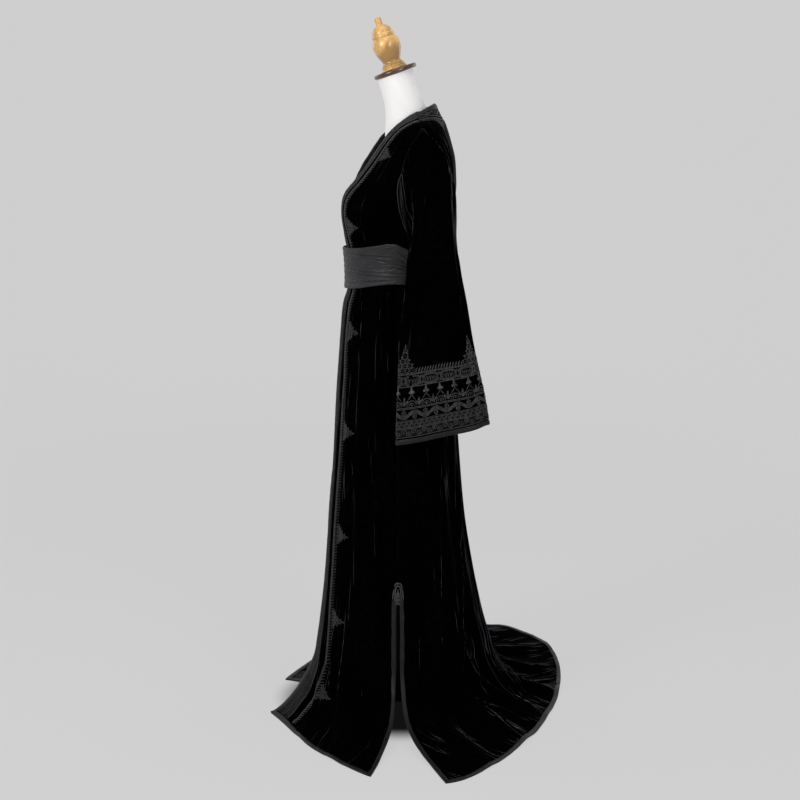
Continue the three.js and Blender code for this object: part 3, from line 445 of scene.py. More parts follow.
def slab(heap, lower, upper, closed, flip, uv=None):
    """A closed wall between two grids of the same size (rows, columns, 3)."""
    nj, ni = upper.shape[:2]
    n = nj * ni
    top, low = sheet_faces(nj, ni, closed, flip), sheet_faces(nj, ni, closed, not flip) + n
    rims = []
    cols = ni if closed else ni - 1
    for j, rev in ((0, False), (nj - 1, True)):
        a = j * ni + np.arange(cols)
        b = j * ni + (np.arange(cols) + 1) % ni
        q = np.stack([b, a, a + n, b + n], -1)
        rims.append(q[:, ::-1] if rev != flip else q)
    if not closed:
        for i, rev in ((0, True), (ni - 1, False)):
            a = np.arange(nj - 1) * ni + i
            q = np.stack([a + ni, a, a + n, a + ni + n], -1)
            rims.append(q[:, ::-1] if rev != flip else q)
    if uv is None:
        uv = flat_uv(upper)
    heap.add(np.concatenate([upper.reshape(-1, 3), lower.reshape(-1, 3)]), np.concatenate([top, low] + rims), uv=np.concatenate([uv, uv]).reshape(-1, 2))


def flat_uv(G):
    """Distances along the rows and down the columns, in mm."""
    s = np.concatenate([np.zeros((G.shape[0], 1)), np.cumsum(np.linalg.norm(np.diff(G, axis=1), axis=2), 1)], 1)
    s = s - s[:, s.shape[1] // 2][:, None]
    t = np.concatenate([np.zeros((1, G.shape[1])), np.cumsum(np.linalg.norm(np.diff(G, axis=0), axis=2), 0)], 0)
    return np.stack([s, t], -1)


def cloth(name, panel, slot_name="velvet", material="velvet", replaces=None):
    h = Heap()
    P, N = panel.P, panel.N
    if panel.closed:                                              # the joint of the cloth coordinates lies under the arm
        k = len(panel.us) // 2
        P, N = np.roll(P, k, 1), np.roll(N, k, 1)
    slab(h, P, P + N * WALL, panel.closed, panel.out > 0)
    return h.make(name, material, slot_name, replaces or [name])


def cords(heap, band, lines, r, h=TOP - 0.4, sides=4, closed=False, flat=1.0):
    """Cords laid along lines of (t, d), lines with the same number of points. Only the side away from the cloth is built."""
    C = np.asarray(lines, float)
    if C.ndim == 2:
        C = C[None]
    m, n = C.shape[:2]
    P, N = band.at(C[..., 0], C[..., 1])
    if closed:
        T = unit(np.roll(P, -1, 1) - np.roll(P, 1, 1))
        taper = np.ones(n)
    else:
        T = unit(np.gradient(P, axis=1))
        taper = np.ones(n)
        taper[0] = taper[-1] = 0.45
    B = unit(np.cross(T, N))
    a = np.radians(np.linspace(-25, 205, sides))
    ring = (P + N * h)[:, :, None] + (N[:, :, None] * np.sin(a)[None, None, :, None] * flat + B[:, :, None] * np.cos(a)[None, None, :, None]) * (r * taper)[None, :, None, None]
    k = np.arange(sides - 1)
    seg = n if closed else n - 1
    i = np.arange(seg)
    I, K = np.meshgrid(i, k, indexing="ij")
    a0, a1 = I * sides + K, ((I + 1) % n) * sides + K
    q = np.stack([a0, a1, a1 + 1, a0 + 1], -1).reshape(-1, 4)
    allq = (q[None] + (np.arange(m) * n * sides)[:, None, None]).reshape(-1, 4)
    uv = np.stack(np.broadcast_arrays(C[..., 0][:, :, None], (np.arange(sides) * 1.3)[None, None, :]), -1)
    heap.add(ring.reshape(-1, 3), allq, uv=uv.reshape(-1, 2))


def studs(heap, band, centres, r, high=None, h=TOP - 0.4, n=8):
    """Small padded dots at (t, d)."""
    C = np.asarray(centres, float).reshape(-1, 2)
    high = r * 0.7 if high is None else high
    a = np.arange(n) / n * 2 * np.pi
    parts = []
    for rr, hh in ((1.0, 0.0), (0.72, 0.7), (0.0, 1.0)):
        k = n if rr > 0 else 1
        tt = C[:, :1] + r * rr * np.cos(a[:k])
        dd = C[:, 1:] + r * rr * np.sin(a[:k])
        P, N = band.at(tt, dd)
        parts.append(P + N * (h + high * hh))
    V = np.concatenate(parts, 1)
    i = np.arange(n)
    j = (i + 1) % n
    q = np.stack([i, j, j + n, i + n], -1)
    t = np.stack([i + n, j + n, np.full(n, 2 * n)], -1)
    m = len(C)
    off = (np.arange(m) * (2 * n + 1))[:, None, None]
    heap.add(V.reshape(-1, 3), (q[None] + off).reshape(-1, 4), (t[None] + off).reshape(-1, 3),
             uv=np.repeat(C, 2 * n + 1, 0))


def rings(centres, r, n=12, squash=1.0, turn=0.0):
    C = np.asarray(centres, float).reshape(-1, 2)
    a = np.arange(n) / n * 2 * np.pi
    r = np.asarray(r, float).reshape(-1, 1)
    x, y = r * np.cos(a), r * squash * np.sin(a)
    c, s = math.cos(turn), math.sin(turn)
    return np.stack([C[:, :1] + x * c - y * s, C[:, 1:] + x * s + y * c], -1)


def leaves(centres, angles, long, wide, n=10):
    """Closed leaf outlines starting at each centre and pointing along an angle."""
    C = np.asarray(centres, float).reshape(-1, 2)
    A = np.broadcast_to(np.asarray(angles, float), (len(C),))[:, None]
    t = np.arange(n) / n
    x = long * (0.5 - 0.5 * np.cos(2 * np.pi * t))
    y = wide * np.sin(2 * np.pi * t) * (0.6 + 0.4 * np.cos(2 * np.pi * t + 0.6))
    return np.stack([C[:, :1] + x * np.cos(A) - y * np.sin(A), C[:, 1:] + x * np.sin(A) + y * np.cos(A)], -1)


def pyramid(heap, band, c, base, r, rows, out=1):
    """A stepped triangle of double rings standing on a line, its tip away from the edge."""
    cen = []
    for k in range(rows):
        m = rows - k
        for i in range(m):
            cen.append([c + (i - (m - 1) / 2) * 2 * r, base + out * (r + k * r * 1.78)])
    cords(heap, band, rings(cen, r * 0.86, 12), r * 0.17, closed=True)
    cords(heap, band, rings(cen, r * 0.47, 9), r * 0.14, closed=True, sides=3)
    studs(heap, band, cen, r * 0.22)
    tip = base + out * (r * 2 + (rows - 1) * r * 1.78)
    cords(heap, band, leaves([[c, tip - out * 1.0]], math.pi / 2 * out, r * 1.5, r * 0.42), r * 0.16, closed=True)
    studs(heap, band, [[c, tip + out * r * 0.7]], r * 0.3)
    # small picots down both slopes
    pic = []
    for k in range(rows):
        half = (rows - k) * r
        for sgn in (-1, 1):
            pic.append([c + sgn * (half + r * 0.12), base + out * (r * 1.5 + k * r * 1.78)])
    studs(heap, band, pic, r * 0.24)


# ------------------------------------------------------------------ materials
def material(name):
    m = bpy.data.materials.new(name)
    m.use_nodes = True
    nt = m.node_tree
    nt.nodes.clear()
    out = nt.nodes.new("ShaderNodeOutputMaterial")
    bsdf = nt.nodes.new("ShaderNodeBsdfPrincipled")
    nt.links.new(bsdf.outputs["BSDF"], out.inputs["Surface"])
    MATS[name] = m
    return m, nt, bsdf


def node(nt, kind, **values):
    n = nt.nodes.new(kind)
    for k, v in values.items():
        if k in n.inputs:
            n.inputs[k].default_value = v
        else:
            setattr(n, k, v)
    return n


def mix(nt, fac, a, b):
    """A colour between a and b by a value."""
    n = nt.nodes.new("ShaderNodeMix")
    n.data_type = "RGBA"
    nt.links.new(fac, n.inputs[0])
    for k, c in ((6, a), (7, b)):
        if isinstance(c, tuple):
            n.inputs[k].default_value = (*c, 1)
        else:
            nt.links.new(c, n.inputs[k])
    return n.outputs[2]


def ramp(nt, fac, lo, hi):
    n = nt.nodes.new("ShaderNodeMapRange")
    n.interpolation_type = "SMOOTHSTEP"
    nt.links.new(fac, n.inputs["Value"])
    n.inputs["From Min"].default_value, n.inputs["From Max"].default_value = lo, hi
    return n.outputs["Result"]


def coords(nt, scale=(1, 1, 1), uv=True):
    if uv:
        c = node(nt, "ShaderNodeUVMap", uv_map="cloth").outputs["UV"]
    else:
        c = nt.nodes.new("ShaderNodeTexCoord").outputs["Object"]
    mp = nt.nodes.new("ShaderNodeMapping")
    mp.inputs["Scale"].default_value = scale
    nt.links.new(c, mp.inputs["Vector"])
    return mp.outputs["Vector"]


def tex(nt, vec, scale, detail=2.0, rough=0.5):
    n = nt.nodes.new("ShaderNodeTexNoise")
    n.inputs["Scale"].default_value, n.inputs["Detail"].default_value, n.inputs["Roughness"].default_value = scale, detail, rough
    nt.links.new(vec, n.inputs["Vector"])
    return n.outputs["Fac"]


def bumps(nt, bsdf, *layers):
    """layers: (height socket, strength, distance in metres)."""
    last = None
    for h, strength, dist in layers:
        b = nt.nodes.new("ShaderNodeBump")
        b.inputs["Strength"].default_value, b.inputs["Distance"].default_value = strength, dist
        nt.links.new(h, b.inputs["Height"])
        if last is not None:
            nt.links.new(last, b.inputs["Normal"])
        last = b.outputs["Normal"]
    nt.links.new(last, bsdf.inputs["Normal"])


def setv(bsdf, **kw):
    for k, v in kw.items():
        bsdf.inputs[k.replace("_", " ")].default_value = v


def velvet():
    m, nt, b = material("velvet")
    v = coords(nt)
    patch = ramp(nt, tex(nt, v, 5.5, 3, .55), .38, .66)          # nap lying one way or the other
    fine = tex(nt, v, 60, 4, .6)
    vs = coords(nt, (900, 260, 260))
    pile = tex(nt, vs, 1.0, 2, .5)
    c1 = mix(nt, patch, (.0005, .0005, .0006), (.0013, .0013, .0016))
    c2 = mix(nt, ramp(nt, fine, .35, .75), (.0004, .0004, .0005), c1)
    nt.links.new(c2, b.inputs["Base Color"])
    setv(b, Roughness=.78, Sheen_Weight=.26, Sheen_Roughness=.18, Sheen_Tint=(.62, .63, .68, 1), Specular_IOR_Level=.0)
    streak = tex(nt, coords(nt, (1, .10, 1)), 62, 3, .6)           # soft streaks down the cloth
    fold = tex(nt, coords(nt, (1, .075, 1)), 52, 1.5, .5)          # fine broken lines where the pile is bent over
    last = fold
    for op, x in (("SUBTRACT", .5), ("ABSOLUTE", 0), ("MULTIPLY", -2.0), ("ADD", 1.0), ("POWER", 9.0)):
        q = nt.nodes.new("ShaderNodeMath")
        q.operation = op
        nt.links.new(last, q.inputs[0])
        q.inputs[1].default_value = x
        last = q.outputs[0]
    part = nt.nodes.new("ShaderNodeMath")
    part.operation = "MULTIPLY"
    nt.links.new(last, part.inputs[0])
    nt.links.new(ramp(nt, tex(nt, coords(nt, (1, .35, 1)), 13, 2, .5), .42, .62), part.inputs[1])
    bumps(nt, b, (tex(nt, v, 34, 3, .6), .35, .0022), (streak, .5, .0028), (part.outputs[0], 1.0, .0021), (pile, .25, .0005))


def satin(name, dark, light, rough, diagonal, sheen=.1, spec=.30):
    m, nt, b = material(name)
    v = coords(nt)
    w = nt.nodes.new("ShaderNodeTexWave")
    w.wave_type, w.bands_direction = "BANDS", "DIAGONAL"
    w.inputs["Scale"].default_value, w.inputs["Distortion"].default_value = diagonal, 3.0
    w.inputs["Detail"].default_value = 2
    nt.links.new(v, w.inputs["Vector"])
    soft = tex(nt, v, 40, 3, .6)
    c = mix(nt, ramp(nt, soft, .3, .7), dark, light)
    nt.links.new(c, b.inputs["Base Color"])
    weave = tex(nt, coords(nt, (2600, 500, 500)), 1.0, 1)
    r = nt.nodes.new("ShaderNodeMapRange")
    nt.links.new(soft, r.inputs["Value"])
    r.inputs["To Min"].default_value, r.inputs["To Max"].default_value = rough - .06, rough + .08
    nt.links.new(r.outputs["Result"], b.inputs["Roughness"])
    setv(b, Sheen_Weight=sheen, Sheen_Roughness=.4, Sheen_Tint=(.8, .8, .84, 1), Specular_IOR_Level=spec)
    bumps(nt, b, (w.outputs["Fac"], .35, .0007), (weave, .2, .0002))


def thread(name, dark, light):
    m, nt, b = material(name)
    v = coords(nt)
    w = nt.nodes.new("ShaderNodeTexWave")                        # the ply of the cord
    w.wave_type, w.bands_direction = "BANDS", "DIAGONAL"
    w.inputs["Scale"].default_value, w.inputs["Distortion"].default_value = 210.0, .6
    nt.links.new(v, w.inputs["Vector"])
    n = tex(nt, v, 150, 4, .65)
    c = mix(nt, ramp(nt, n, .36, .64), dark, light)
    # painted shade: the colour is darkened in the grooves between the plies, the low bands of the same wave that makes
    # the ply's bump
    c2 = mix(nt, ramp(nt, w.outputs["Fac"], .1, .6), tuple(x * .45 for x in dark), c)
    nt.links.new(c2, b.inputs["Base Color"])
    setv(b, Roughness=.48, Sheen_Weight=.04, Sheen_Roughness=.4, Sheen_Tint=(.8, .8, .86, 1), Specular_IOR_Level=.32)
    bumps(nt, b, (w.outputs["Fac"], .6, .0006), (tex(nt, v, 900, 2), .25, .0002))


def ribbon_mat():
    m, nt, b = material("braid_ground")
    v = coords(nt)
    w = nt.nodes.new("ShaderNodeTexWave")
    w.wave_type, w.bands_direction = "BANDS", "Y"
    w.inputs["Scale"].default_value, w.inputs["Distortion"].default_value = 130.0, 1.2
    nt.links.new(v, w.inputs["Vector"])
    n = tex(nt, v, 70, 3, .6)
    c = mix(nt, ramp(nt, n, .3, .7), (.0018, .0018, .0021), (.0050, .0050, .0056))
    nt.links.new(c, b.inputs["Base Color"])
    setv(b, Roughness=.7, Sheen_Weight=.01, Sheen_Roughness=.4, Specular_IOR_Level=.05)
    bumps(nt, b, (w.outputs["Fac"], .5, .0005), (tex(nt, v, 700, 2), .3, .0003))


def jersey():
    m, nt, b = material("jersey")
    v = coords(nt, (1, 1, 1))
    n = tex(nt, v, 9, 3, .5)
    c = mix(nt, ramp(nt, n, .3, .7), (.895, .88, .865), (.94, .925, .91))
    nt.links.new(c, b.inputs["Base Color"])
    w = nt.nodes.new("ShaderNodeTexWave")
    w.wave_type, w.bands_direction = "BANDS", "X"
    w.inputs["Scale"].default_value, w.inputs["Distortion"].default_value = 190.0, .8
    nt.links.new(v, w.inputs["Vector"])
    setv(b, Roughness=.92, Sheen_Weight=.15, Sheen_Roughness=.6, Specular_IOR_Level=.2)
    bumps(nt, b, (w.outputs["Fac"], .12, .0003), (tex(nt, v, 25, 2), .1, .001))


def wood(name, dark, light, rough, coat):
    m, nt, b = material(name)
    v = coords(nt, (22, 22, 3.5), uv=False)
    n = tex(nt, v, 3.0, 6, .62)
    w = nt.nodes.new("ShaderNodeTexWave")
    w.wave_type, w.bands_direction = "RINGS", "Z"
    w.inputs["Scale"].default_value, w.inputs["Distortion"].default_value, w.inputs["Detail"].default_value = .55, 5.0, 3
    nt.links.new(v, w.inputs["Vector"])
    c1 = mix(nt, ramp(nt, n, .3, .72), dark, light)
    c2 = mix(nt, ramp(nt, w.outputs["Fac"], .55, .98), c1, tuple(x * .72 for x in dark))
    nt.links.new(c2, b.inputs["Base Color"])
    setv(b, Roughness=rough, Coat_Weight=coat, Coat_Roughness=.12, Specular_IOR_Level=.5)
    bumps(nt, b, (n, .08, .0006))


def iron():
    m, nt, b = material("iron")
    v = coords(nt, uv=False)
    n = tex(nt, v, 60, 4, .6)
    c = mix(nt, ramp(nt, n, .35, .7), (.0045, .0045, .0048), (.0095, .0095, .0100))
    nt.links.new(c, b.inputs["Base Color"])
    r = nt.nodes.new("ShaderNodeMapRange")
    nt.links.new(n, r.inputs["Value"])
    r.inputs["To Min"].default_value, r.inputs["To Max"].default_value = .55, .75
    nt.links.new(r.outputs["Result"], b.inputs["Roughness"])
    setv(b, Specular_IOR_Level=.12)
    bumps(nt, b, (tex(nt, v, 400, 2), .25, .0004))


velvet()
satin("binding_satin", (.0042, .0042, .0046), (.0080, .0080, .0086), .46, 60.0, .02, .21)
satin("sash_satin", (.0126, .0126, .0143), (.0200, .0200, .0226), .46, 30.0, .05)
satin("piping_satin", (.014, .014, .0155), (.026, .026, .028), .44, 120.0, .04)
thread("cord_thread", (.020, .020, .022), (.078, .078, .083))
thread("border_thread", (.0095, .0095, .0106), (.042, .042, .0455))
ribbon_mat()
jersey()
wood("dark_wood", (.050, .026, .013), (.13, .068, .030), .34, .5)
wood("varnished_wood", (.56, .30, .078), (.90, .56, .175), .34, .7)
iron()


def rows_for(f, u, v0, v1, n, extra=1.0):
    """Levels evenly spaced along a column; extra packs more of them on the floor part."""
    v = np.linspace(v0, v1, 800)
    s = np.linalg.norm(np.diff(f(np.full(800, u), v), axis=0), axis=1) * np.where(v[1:] > LAST, extra, 1.0)
    s = np.r_[0, np.cumsum(s)]
    out = np.interp(np.linspace(0, s[-1], n), s, v)
    out[0], out[-1] = v0, v1
    return out


left = Panel(left_front, np.linspace(0, .9995, 86), rows_for(left_front, .5, 0, V_HEM, 200, 1.6), 1)
right = Panel(right_front, np.linspace(0, .9995, 78), rows_for(right_front, .5, 0, V_HEM, 200, 1.6), -1)
bl = Panel(back, np.linspace(.0006, .9995, 104), rows_for(back, .5, 0, V_HEM, 214, 2.0), -1)
br = Panel(back, np.linspace(-.9995, -.0006, 98), rows_for(back, -.5, 0, V_HEM, 214, 2.0), -1)
sl = Panel(lambda u, w: sleeve(u, w), np.arange(116) / 116, rows_for(sleeve, 0.0, 0, SLEEVE_LAST, 132), -1, closed=True)


def mirror_sleeve(u, w):
    p = sleeve(u, w)
    return np.stack([-p[..., 0], p[..., 1], p[..., 2]], -1)


sr = Panel(mirror_sleeve, np.arange(116) / 116, rows_for(sleeve, 0.0, 0, SLEEVE_LAST, 132), 1, closed=True)

# creases seen on the wearer's left: (u, v) points, depth, half width
FRONT_CREASES = [
    ([(.50, 15.34), (.567, 15.86), (.625, 16.38), (.642, 17.48), (.66, 18.6)], 4.5, 15),
    ([(.742, 15.08), (.775, 15.79), (.817, 16.51), (.858, 18.14), (.883, 19.37), (.933, 21.25), (.958, 22.6)], 6.5, 13),
    ([(.655, 10.7), (.690, 11.2), (.733, 11.70), (.783, 12.68), (.790, 13.5), (.80, 14.6)], 7.5, 10),
    ([(.470, 10.7), (.492, 10.98), (.583, 11.96), (.600, 12.74), (.60, 13.8)], 6.5, 10),
    ([(.780, 10.7), (.792, 11.05), (.817, 11.89), (.817, 12.87), (.81, 14.2)], 6.0, 9),
    ([(.880, 10.7), (.883, 10.92), (.925, 12.54), (.92, 13.8), (.93, 15.5)], 6.5, 10),
    ([(.560, 10.7), (.600, 11.4), (.66, 12.3), (.69, 13.2)], 4.5, 7),
    ([(.38, 10.7), (.42, 11.5), (.45, 12.4), (.46, 13.4)], 4.5, 8),
    ([(.70, 12.9), (.72, 14.2), (.73, 15.6)], 4.0, 10),
    ([(.433, 19.0), (.433, 19.63), (.467, 21.00), (.49, 22.2)], 6, 11),
    ([(.560, 18.6), (.575, 19.63), (.558, 20.86), (.592, 22.36), (.62, 23.6)], 7, 12),
    ([(.600, 17.9), (.625, 18.91), (.683, 19.30), (.717, 20.02), (.775, 21.32), (.82, 23.0)], 7.5, 12),
    ([(.86, 22.6), (.900, 24.05), (.95, 25.22)], 5, 11),
    ([(.955, 20.6), (.962, 22.16), (.965, 23.27), (.95, 24.8)], 5, 9),
    ([(.942, 15.0), (.942, 16.32), (.958, 17.48), (.962, 18.2)], 4.5, 9),
    ([(.30, 20.2), (.33, 21.8), (.37, 23.6)], 5, 13),
    ([(.70, 21.8), (.74, 23.2), (.77, 24.6)], 5, 12),
    ([(.48, 22.8), (.52, 24.2), (.53, 25.3)], 4, 12),
    # drags on the bodice towards the waist
    ([(.758, 5.39), (.80, 6.3), (.80, 7.2), (.75, 8.3), (.72, 9.2)], 3.4, 9),
    ([(.60, 6.7), (.632, 7.1), (.655, 7.7), (.675, 8.5), (.69, 9.4)], 3.2, 8),
    ([(.917, 5.13), (.90, 6.2), (.86, 7.4), (.80, 8.5), (.78, 9.4)], 3.6, 9),
    ([(.47, 7.2), (.508, 7.5), (.542, 8.1), (.583, 8.8), (.60, 9.5)], 3.0, 8),
    ([(.40, 5.9), (.50, 6.1), (.62, 5.8)], -2.0, 16),
    ([(.30, 8.0), (.36, 8.7), (.40, 9.5)], 2.2, 8),
]
BACK_CREASES = [
    ([(.825, 15.2), (.835, 15.9), (.842, 16.45), (.850, 17.48), (.855, 18.4), (.892, 19.89), (.900, 21.6), (.89, 22.8)], 6.5, 12),
    ([(.542, 15.0), (.567, 15.99), (.592, 16.96), (.650, 18.14), (.683, 18.8), (.742, 19.9), (.842, 22.3)], 7, 14),
    ([(.19, 15.2), (.26, 16.45), (.340, 17.42), (.425, 18.59), (.533, 19.76), (.683, 22.62)], 7, 14),
    ([(.908, 16.6), (.950, 17.36), (.975, 17.9)], 4, 8),
    ([(.952, 19.6), (.958, 20.54), (.967, 22.0), (.97, 23.4)], 6, 10),
    ([(.90, 20.8), (.892, 21.91), (.880, 22.88), (.865, 23.9)], 6, 11),
    ([(.70, 20.3), (.717, 21.39), (.745, 22.6), (.758, 23.8)], 6, 12),
    ([(.50, 19.7), (.467, 20.34), (.39, 21.58), (.342, 22.62), (.320, 24.6)], 9, 13),
    ([(.20, 20.2), (.18, 21.4), (.22, 23.0), (.31, 24.9)], 9, 14),
    ([(.10, 21.6), (.12, 22.88), (.22, 24.0), (.317, 25.1)], 8, 12),
    ([(.76, 22.4), (.68, 22.9), (.617, 23.30), (.542, 24.38), (.50, 25.1)], 8, 11),
    ([(.62, 21.8), (.55, 22.6), (.44, 23.40), (.40, 24.6)], 8, 12),
    ([(.983, 24.4), (.917, 24.9), (.867, 25.2)], 4.5, 9),
    ([(.92, 23.3), (.89, 24.0), (.85, 24.6)], 5, 10),
    ([(.80, 23.5), (.76, 24.2), (.70, 24.9)], 5, 10),
    ([(.30, 14.6), (.33, 16.0), (.36, 17.4), (.38, 19.0)], 5, 14),
    ([(.70, 10.7), (.71, 12.2), (.70, 13.6)], 5.5, 10), ([(.52, 10.7), (.53, 12.0), (.54, 13.4)], 6, 10),
    ([(.34, 10.7), (.34, 12.3), (.33, 14.2)], 6.5, 11), ([(.16, 10.7), (.17, 12.0), (.16, 13.6)], 5.5, 10), ([(.88, 10.7), (.88, 12.4), (.86, 14.6)], 6, 10),
    # blades of the back
    ([(.55, 2.6), (.58, 4.2), (.57, 6.0), (.52, 8.0)], 3.0, 14), ([(.30, 6.6), (.30, 8.0), (.28, 9.4)], 2.6, 10), ([(.78, 5.2), (.74, 7.0), (.66, 8.8)], 3.2, 10),
]
TRAIN_CREASES = [
    ([(-.02, 20.6), (-.06, 22.2), (-.04, 24.0), (.03, 25.2)], 8, 13), ([(-.14, 20.4), (-.16, 22.0), (-.19, 23.8), (-.16, 25.1)], 9, 12),
    ([(-.27, 20.7), (-.29, 22.0), (-.27, 23.6), (-.30, 24.9)], 8, 12), ([(-.38, 20.4), (-.41, 22.1), (-.42, 24.0)], 9, 12),
    ([(-.52, 20.4), (-.53, 22.0), (-.57, 23.9), (-.55, 25.0)], 8, 13), ([(-.66, 20.6), (-.68, 22.4), (-.66, 24.2)], 8, 12),
    ([(-.80, 20.4), (-.82, 22.2), (-.86, 24.0)], 7, 12), ([(-.93, 19.6), (-.94, 21.6), (-.93, 23.4)], 6, 10),
]
for pts, depth, half in FRONT_CREASES:
    left.crease(pts, depth * 1.35, half * .95)
for pts, depth, half in BACK_CREASES:
    bl.crease(pts, depth * (1.25 if pts[0][1] < 16 else 1.0), half * .95)
for pts, depth, half in TRAIN_CREASES:
    br.crease(pts, depth * .62, half * .85)
    bl.crease(pts, depth * .62, half * .85)
# the other side: similar ones, shifted, with other depths
rng = np.random.default_rng(7)


def other(creases, panel, sign):
    for pts, depth, half in creases:
        du, dv = rng.uniform(-.03, .03), rng.uniform(-.35, .35)
        k = rng.uniform(.75, 1.15)
        pts = [(sign * np.clip(u + du, .02, .975), v + dv if 10.9 < v else v) for u, v in pts]
        pts = [(u, min(v, 25.3)) for u, v in pts]
        panel.crease(pts, depth * k, half * rng.uniform(.9, 1.2))


other(FRONT_CREASES, right, 1)
other(BACK_CREASES[:6] + BACK_CREASES[15:], br, -1)


def crumple(panel, seed, strength):
    """Fine crushing of the cloth that lies on the floor, in short ridges that mostly run outwards."""
    U, V = panel.U, panel.V
    G = flat_uv(panel.P)
    hem = along(HEM_BACK, np.clip((1 - U) / 2, 0, 1)) if panel in (bl, br) else None
    span = 2100 if hem is not None else 560
    x = U * span / (2 if hem is not None else 1)
    y = (V - LAST) * 62
    warp = 26 * noise(x / 90, y / 120, seed + 3)
    a = 1 - np.abs(noise((x + warp) / 31, y / 120, seed))
    b = 1 - np.abs(noise((x - warp) / 19, (y + .4 * x) / 66, seed + 1))
    c = noise(x / 60, y / 80, seed + 2)
    k = sm(20.3, 22.0, V) * (1 - .75 * sm(25.0, 25.9, V))
    wide = .55 + .45 * noise(x / 150, y / 130, seed + 5)
    panel.add(strength * k * wide * (4.2 * a ** 7 + 2.8 * b ** 7 + 1.2 * c))


crumple(bl, 11, 1.15)
crumple(br, 12, 1.15)
crumple(left, 13, .8)
crumple(right, 14, .8)
for p, seed in ((left, 1), (right, 2), (bl, 3), (br, 4)):
    # slow unevenness of the hanging cloth
    p.add(1.6 * noise(p.U * 7, p.V * .55, seed) * sm(9.5, 12, p.V))
    p.add(.7 * noise(p.U * 12, p.V * 1.3, seed + 9))
    p.off *= sm(0, .02, np.abs(p.U) if p in (left, right) else 1 - np.abs(p.U)) * .5 + .5
    if p in (left, right):
        p.off *= 1 - .75 * bump(p.V - 10, 1.6)                # held flat under the sash
    else:
        p.off *= 1 - .75 * bump(p.V - 10, 1.6)
        seam = 1 - bump(p.U, .06)
        p.off *= np.where(p.V < 20, .25 + .75 * seam, 1)
    p.soften()
    p.settle()
# the bound edges of the slits stand a little apart; front and back meet along the shoulder
for p, way in ((left, -1), (right, -1), (bl, 1), (br, 1)):
    U = np.abs(p.U)
    z = p.P[..., 2]
    gap = (2.9 + 1.7 * sm(150, 330, z)) * sm(372, 350, z) * sm(.90, 1.0, U) * (p.V > 18)
    p.P[..., 1] += way * gap
    v = np.minimum(p.V, 2.0)
    fa, ba = level(FRONT, v)[..., 3:6], level(BACK, v)[..., 3:6]
    here = fa if way < 0 else ba
    move = (fa + ba) / 2 - np.array([0, 1.5 * way, 0]) - here
    move[..., 0] *= 1 if p in (left, bl) else -1
    p.P += move * (sm(.55, 1.0, U) * (1 - sm(1.7, 2.2, p.V)))[..., None]
for p in (left, right):
    p.P[..., 1] += 12.0 * sm(.55, 1.0, p.U) * sm(20.4, 23.4, p.V)
for p in (bl, br):
    p.P[..., 1] -= 12.0 * sm(.55, 1.0, np.abs(p.U)) * bump(p.V - 23.2, 2.8)
    lift = ((1 - sm(0, 1.3, p.V)) * (1 - sm(.35, 1.0, np.abs(p.U))))[..., None]
    p.P += lift * [0, 7.0, 7.0]
# the right front's lower corner lies flat on the floor
w = (1 - sm(.15, .6, right.U)) * (right.V > 18.5)
right.P[..., 2] = np.where(w * (right.P[..., 2] < 170) > 0, 170 * (np.clip(right.P[..., 2], .5, 170) / 170) ** (1 + 2.2 * w), right.P[..., 2])
right.P[..., 1] -= 12.0 * sm(1.4, 2.6, right.V) * (1 - sm(4.1, 5.5, right.V)) * (1 - sm(.12, .62, right.U))
for p in (left, right, bl, br):
    p.N = p.normals()
# both halves of the back meet along the centre seam
m = (bl.P[:, 0] + br.P[:, -1]) / 2
bl.P[:, 0], br.P[:, -1] = m + [.15, 0, 0], m - [.15, 0, 0]
n = unit(bl.N[:, 0] + br.N[:, -1])
bl.N[:, 0] = br.N[:, -1] = n
for p in (left, right, bl, br):
    p.P[..., 2] = np.maximum(p.P[..., 2], .7)

SLEEVE_CREASES = [
    ([(.075, 2.0), (.095, 2.59), (.130, 3.26), (.150, 3.96), (.140, 4.6)], 3.6, 9),
    ([(.005, 2.2), (.020, 2.86), (.045, 3.65), (.080, 4.23), (.095, 4.9)], 3.4, 9),
    ([(.075, 4.0), (.115, 4.41), (.145, 4.88), (.185, 5.3), (.19, 6.03), (.200, 6.6)], 4.2, 10),
    ([(.105, 5.6), (.118, 6.4), (.120, 7.09), (.115, 7.9)], 7.5, 9), ([(.240, 3.5), (.236, 4.4), (.226, 5.2), (.220, 6.1), (.232, 7.2)], 5.0, 8),
    ([(.035, 5.0), (.060, 5.7), (.075, 6.3), (.080, 7.0)], 4.0, 12),
    ([(-.05, 1.0), (-.09, 1.6), (-.12, 2.5), (-.14, 3.4)], 3.4, 9),
    ([(-.030, 1.6), (-.03, 2.6), (-.025, 3.6), (0, 4.6), (-.005, 5.7)], 3.2, 11),
    ([(.155, 2.2), (.195, 2.92), (.19, 3.6), (.160, 4.2)], 3.4, 8),
    ([(-.12, 3.8), (-.11, 4.9), (-.10, 6.0), (-.12, 7.0)], 3.2, 13),
    ([(.22, 3.2), (.225, 4.3), (.21, 5.4)], 3.0, 9),
    ([(.03, 1.0), (.05, 1.7), (.06, 2.4)], 2.8, 8), ([(.10, .9), (.12, 1.6), (.12, 2.3)], 2.6, 8),
    ([(-.18, 2.0), (-.19, 3.0), (-.18, 4.2)], 3.0, 9), ([(-.21, 4.6), (-.20, 5.8), (-.20, 7.0)], 3.4, 12),
    ([(.40, 4.6), (.42, 6.0), (.41, 7.2)], 3.0, 12), ([(-.40, 4.8), (-.41, 6.2), (-.42, 7.0)], 3.0, 12),
]
for c in SLEEVE_CREASES:
    sl.crease(*c)
for pts, depth, half in SLEEVE_CREASES:
    du, dv = rng.uniform(-.015, .015), rng.uniform(-.2, .2)
    sr.crease([(u + du, v + dv) for u, v in pts], depth * rng.uniform(.8, 1.15), half)
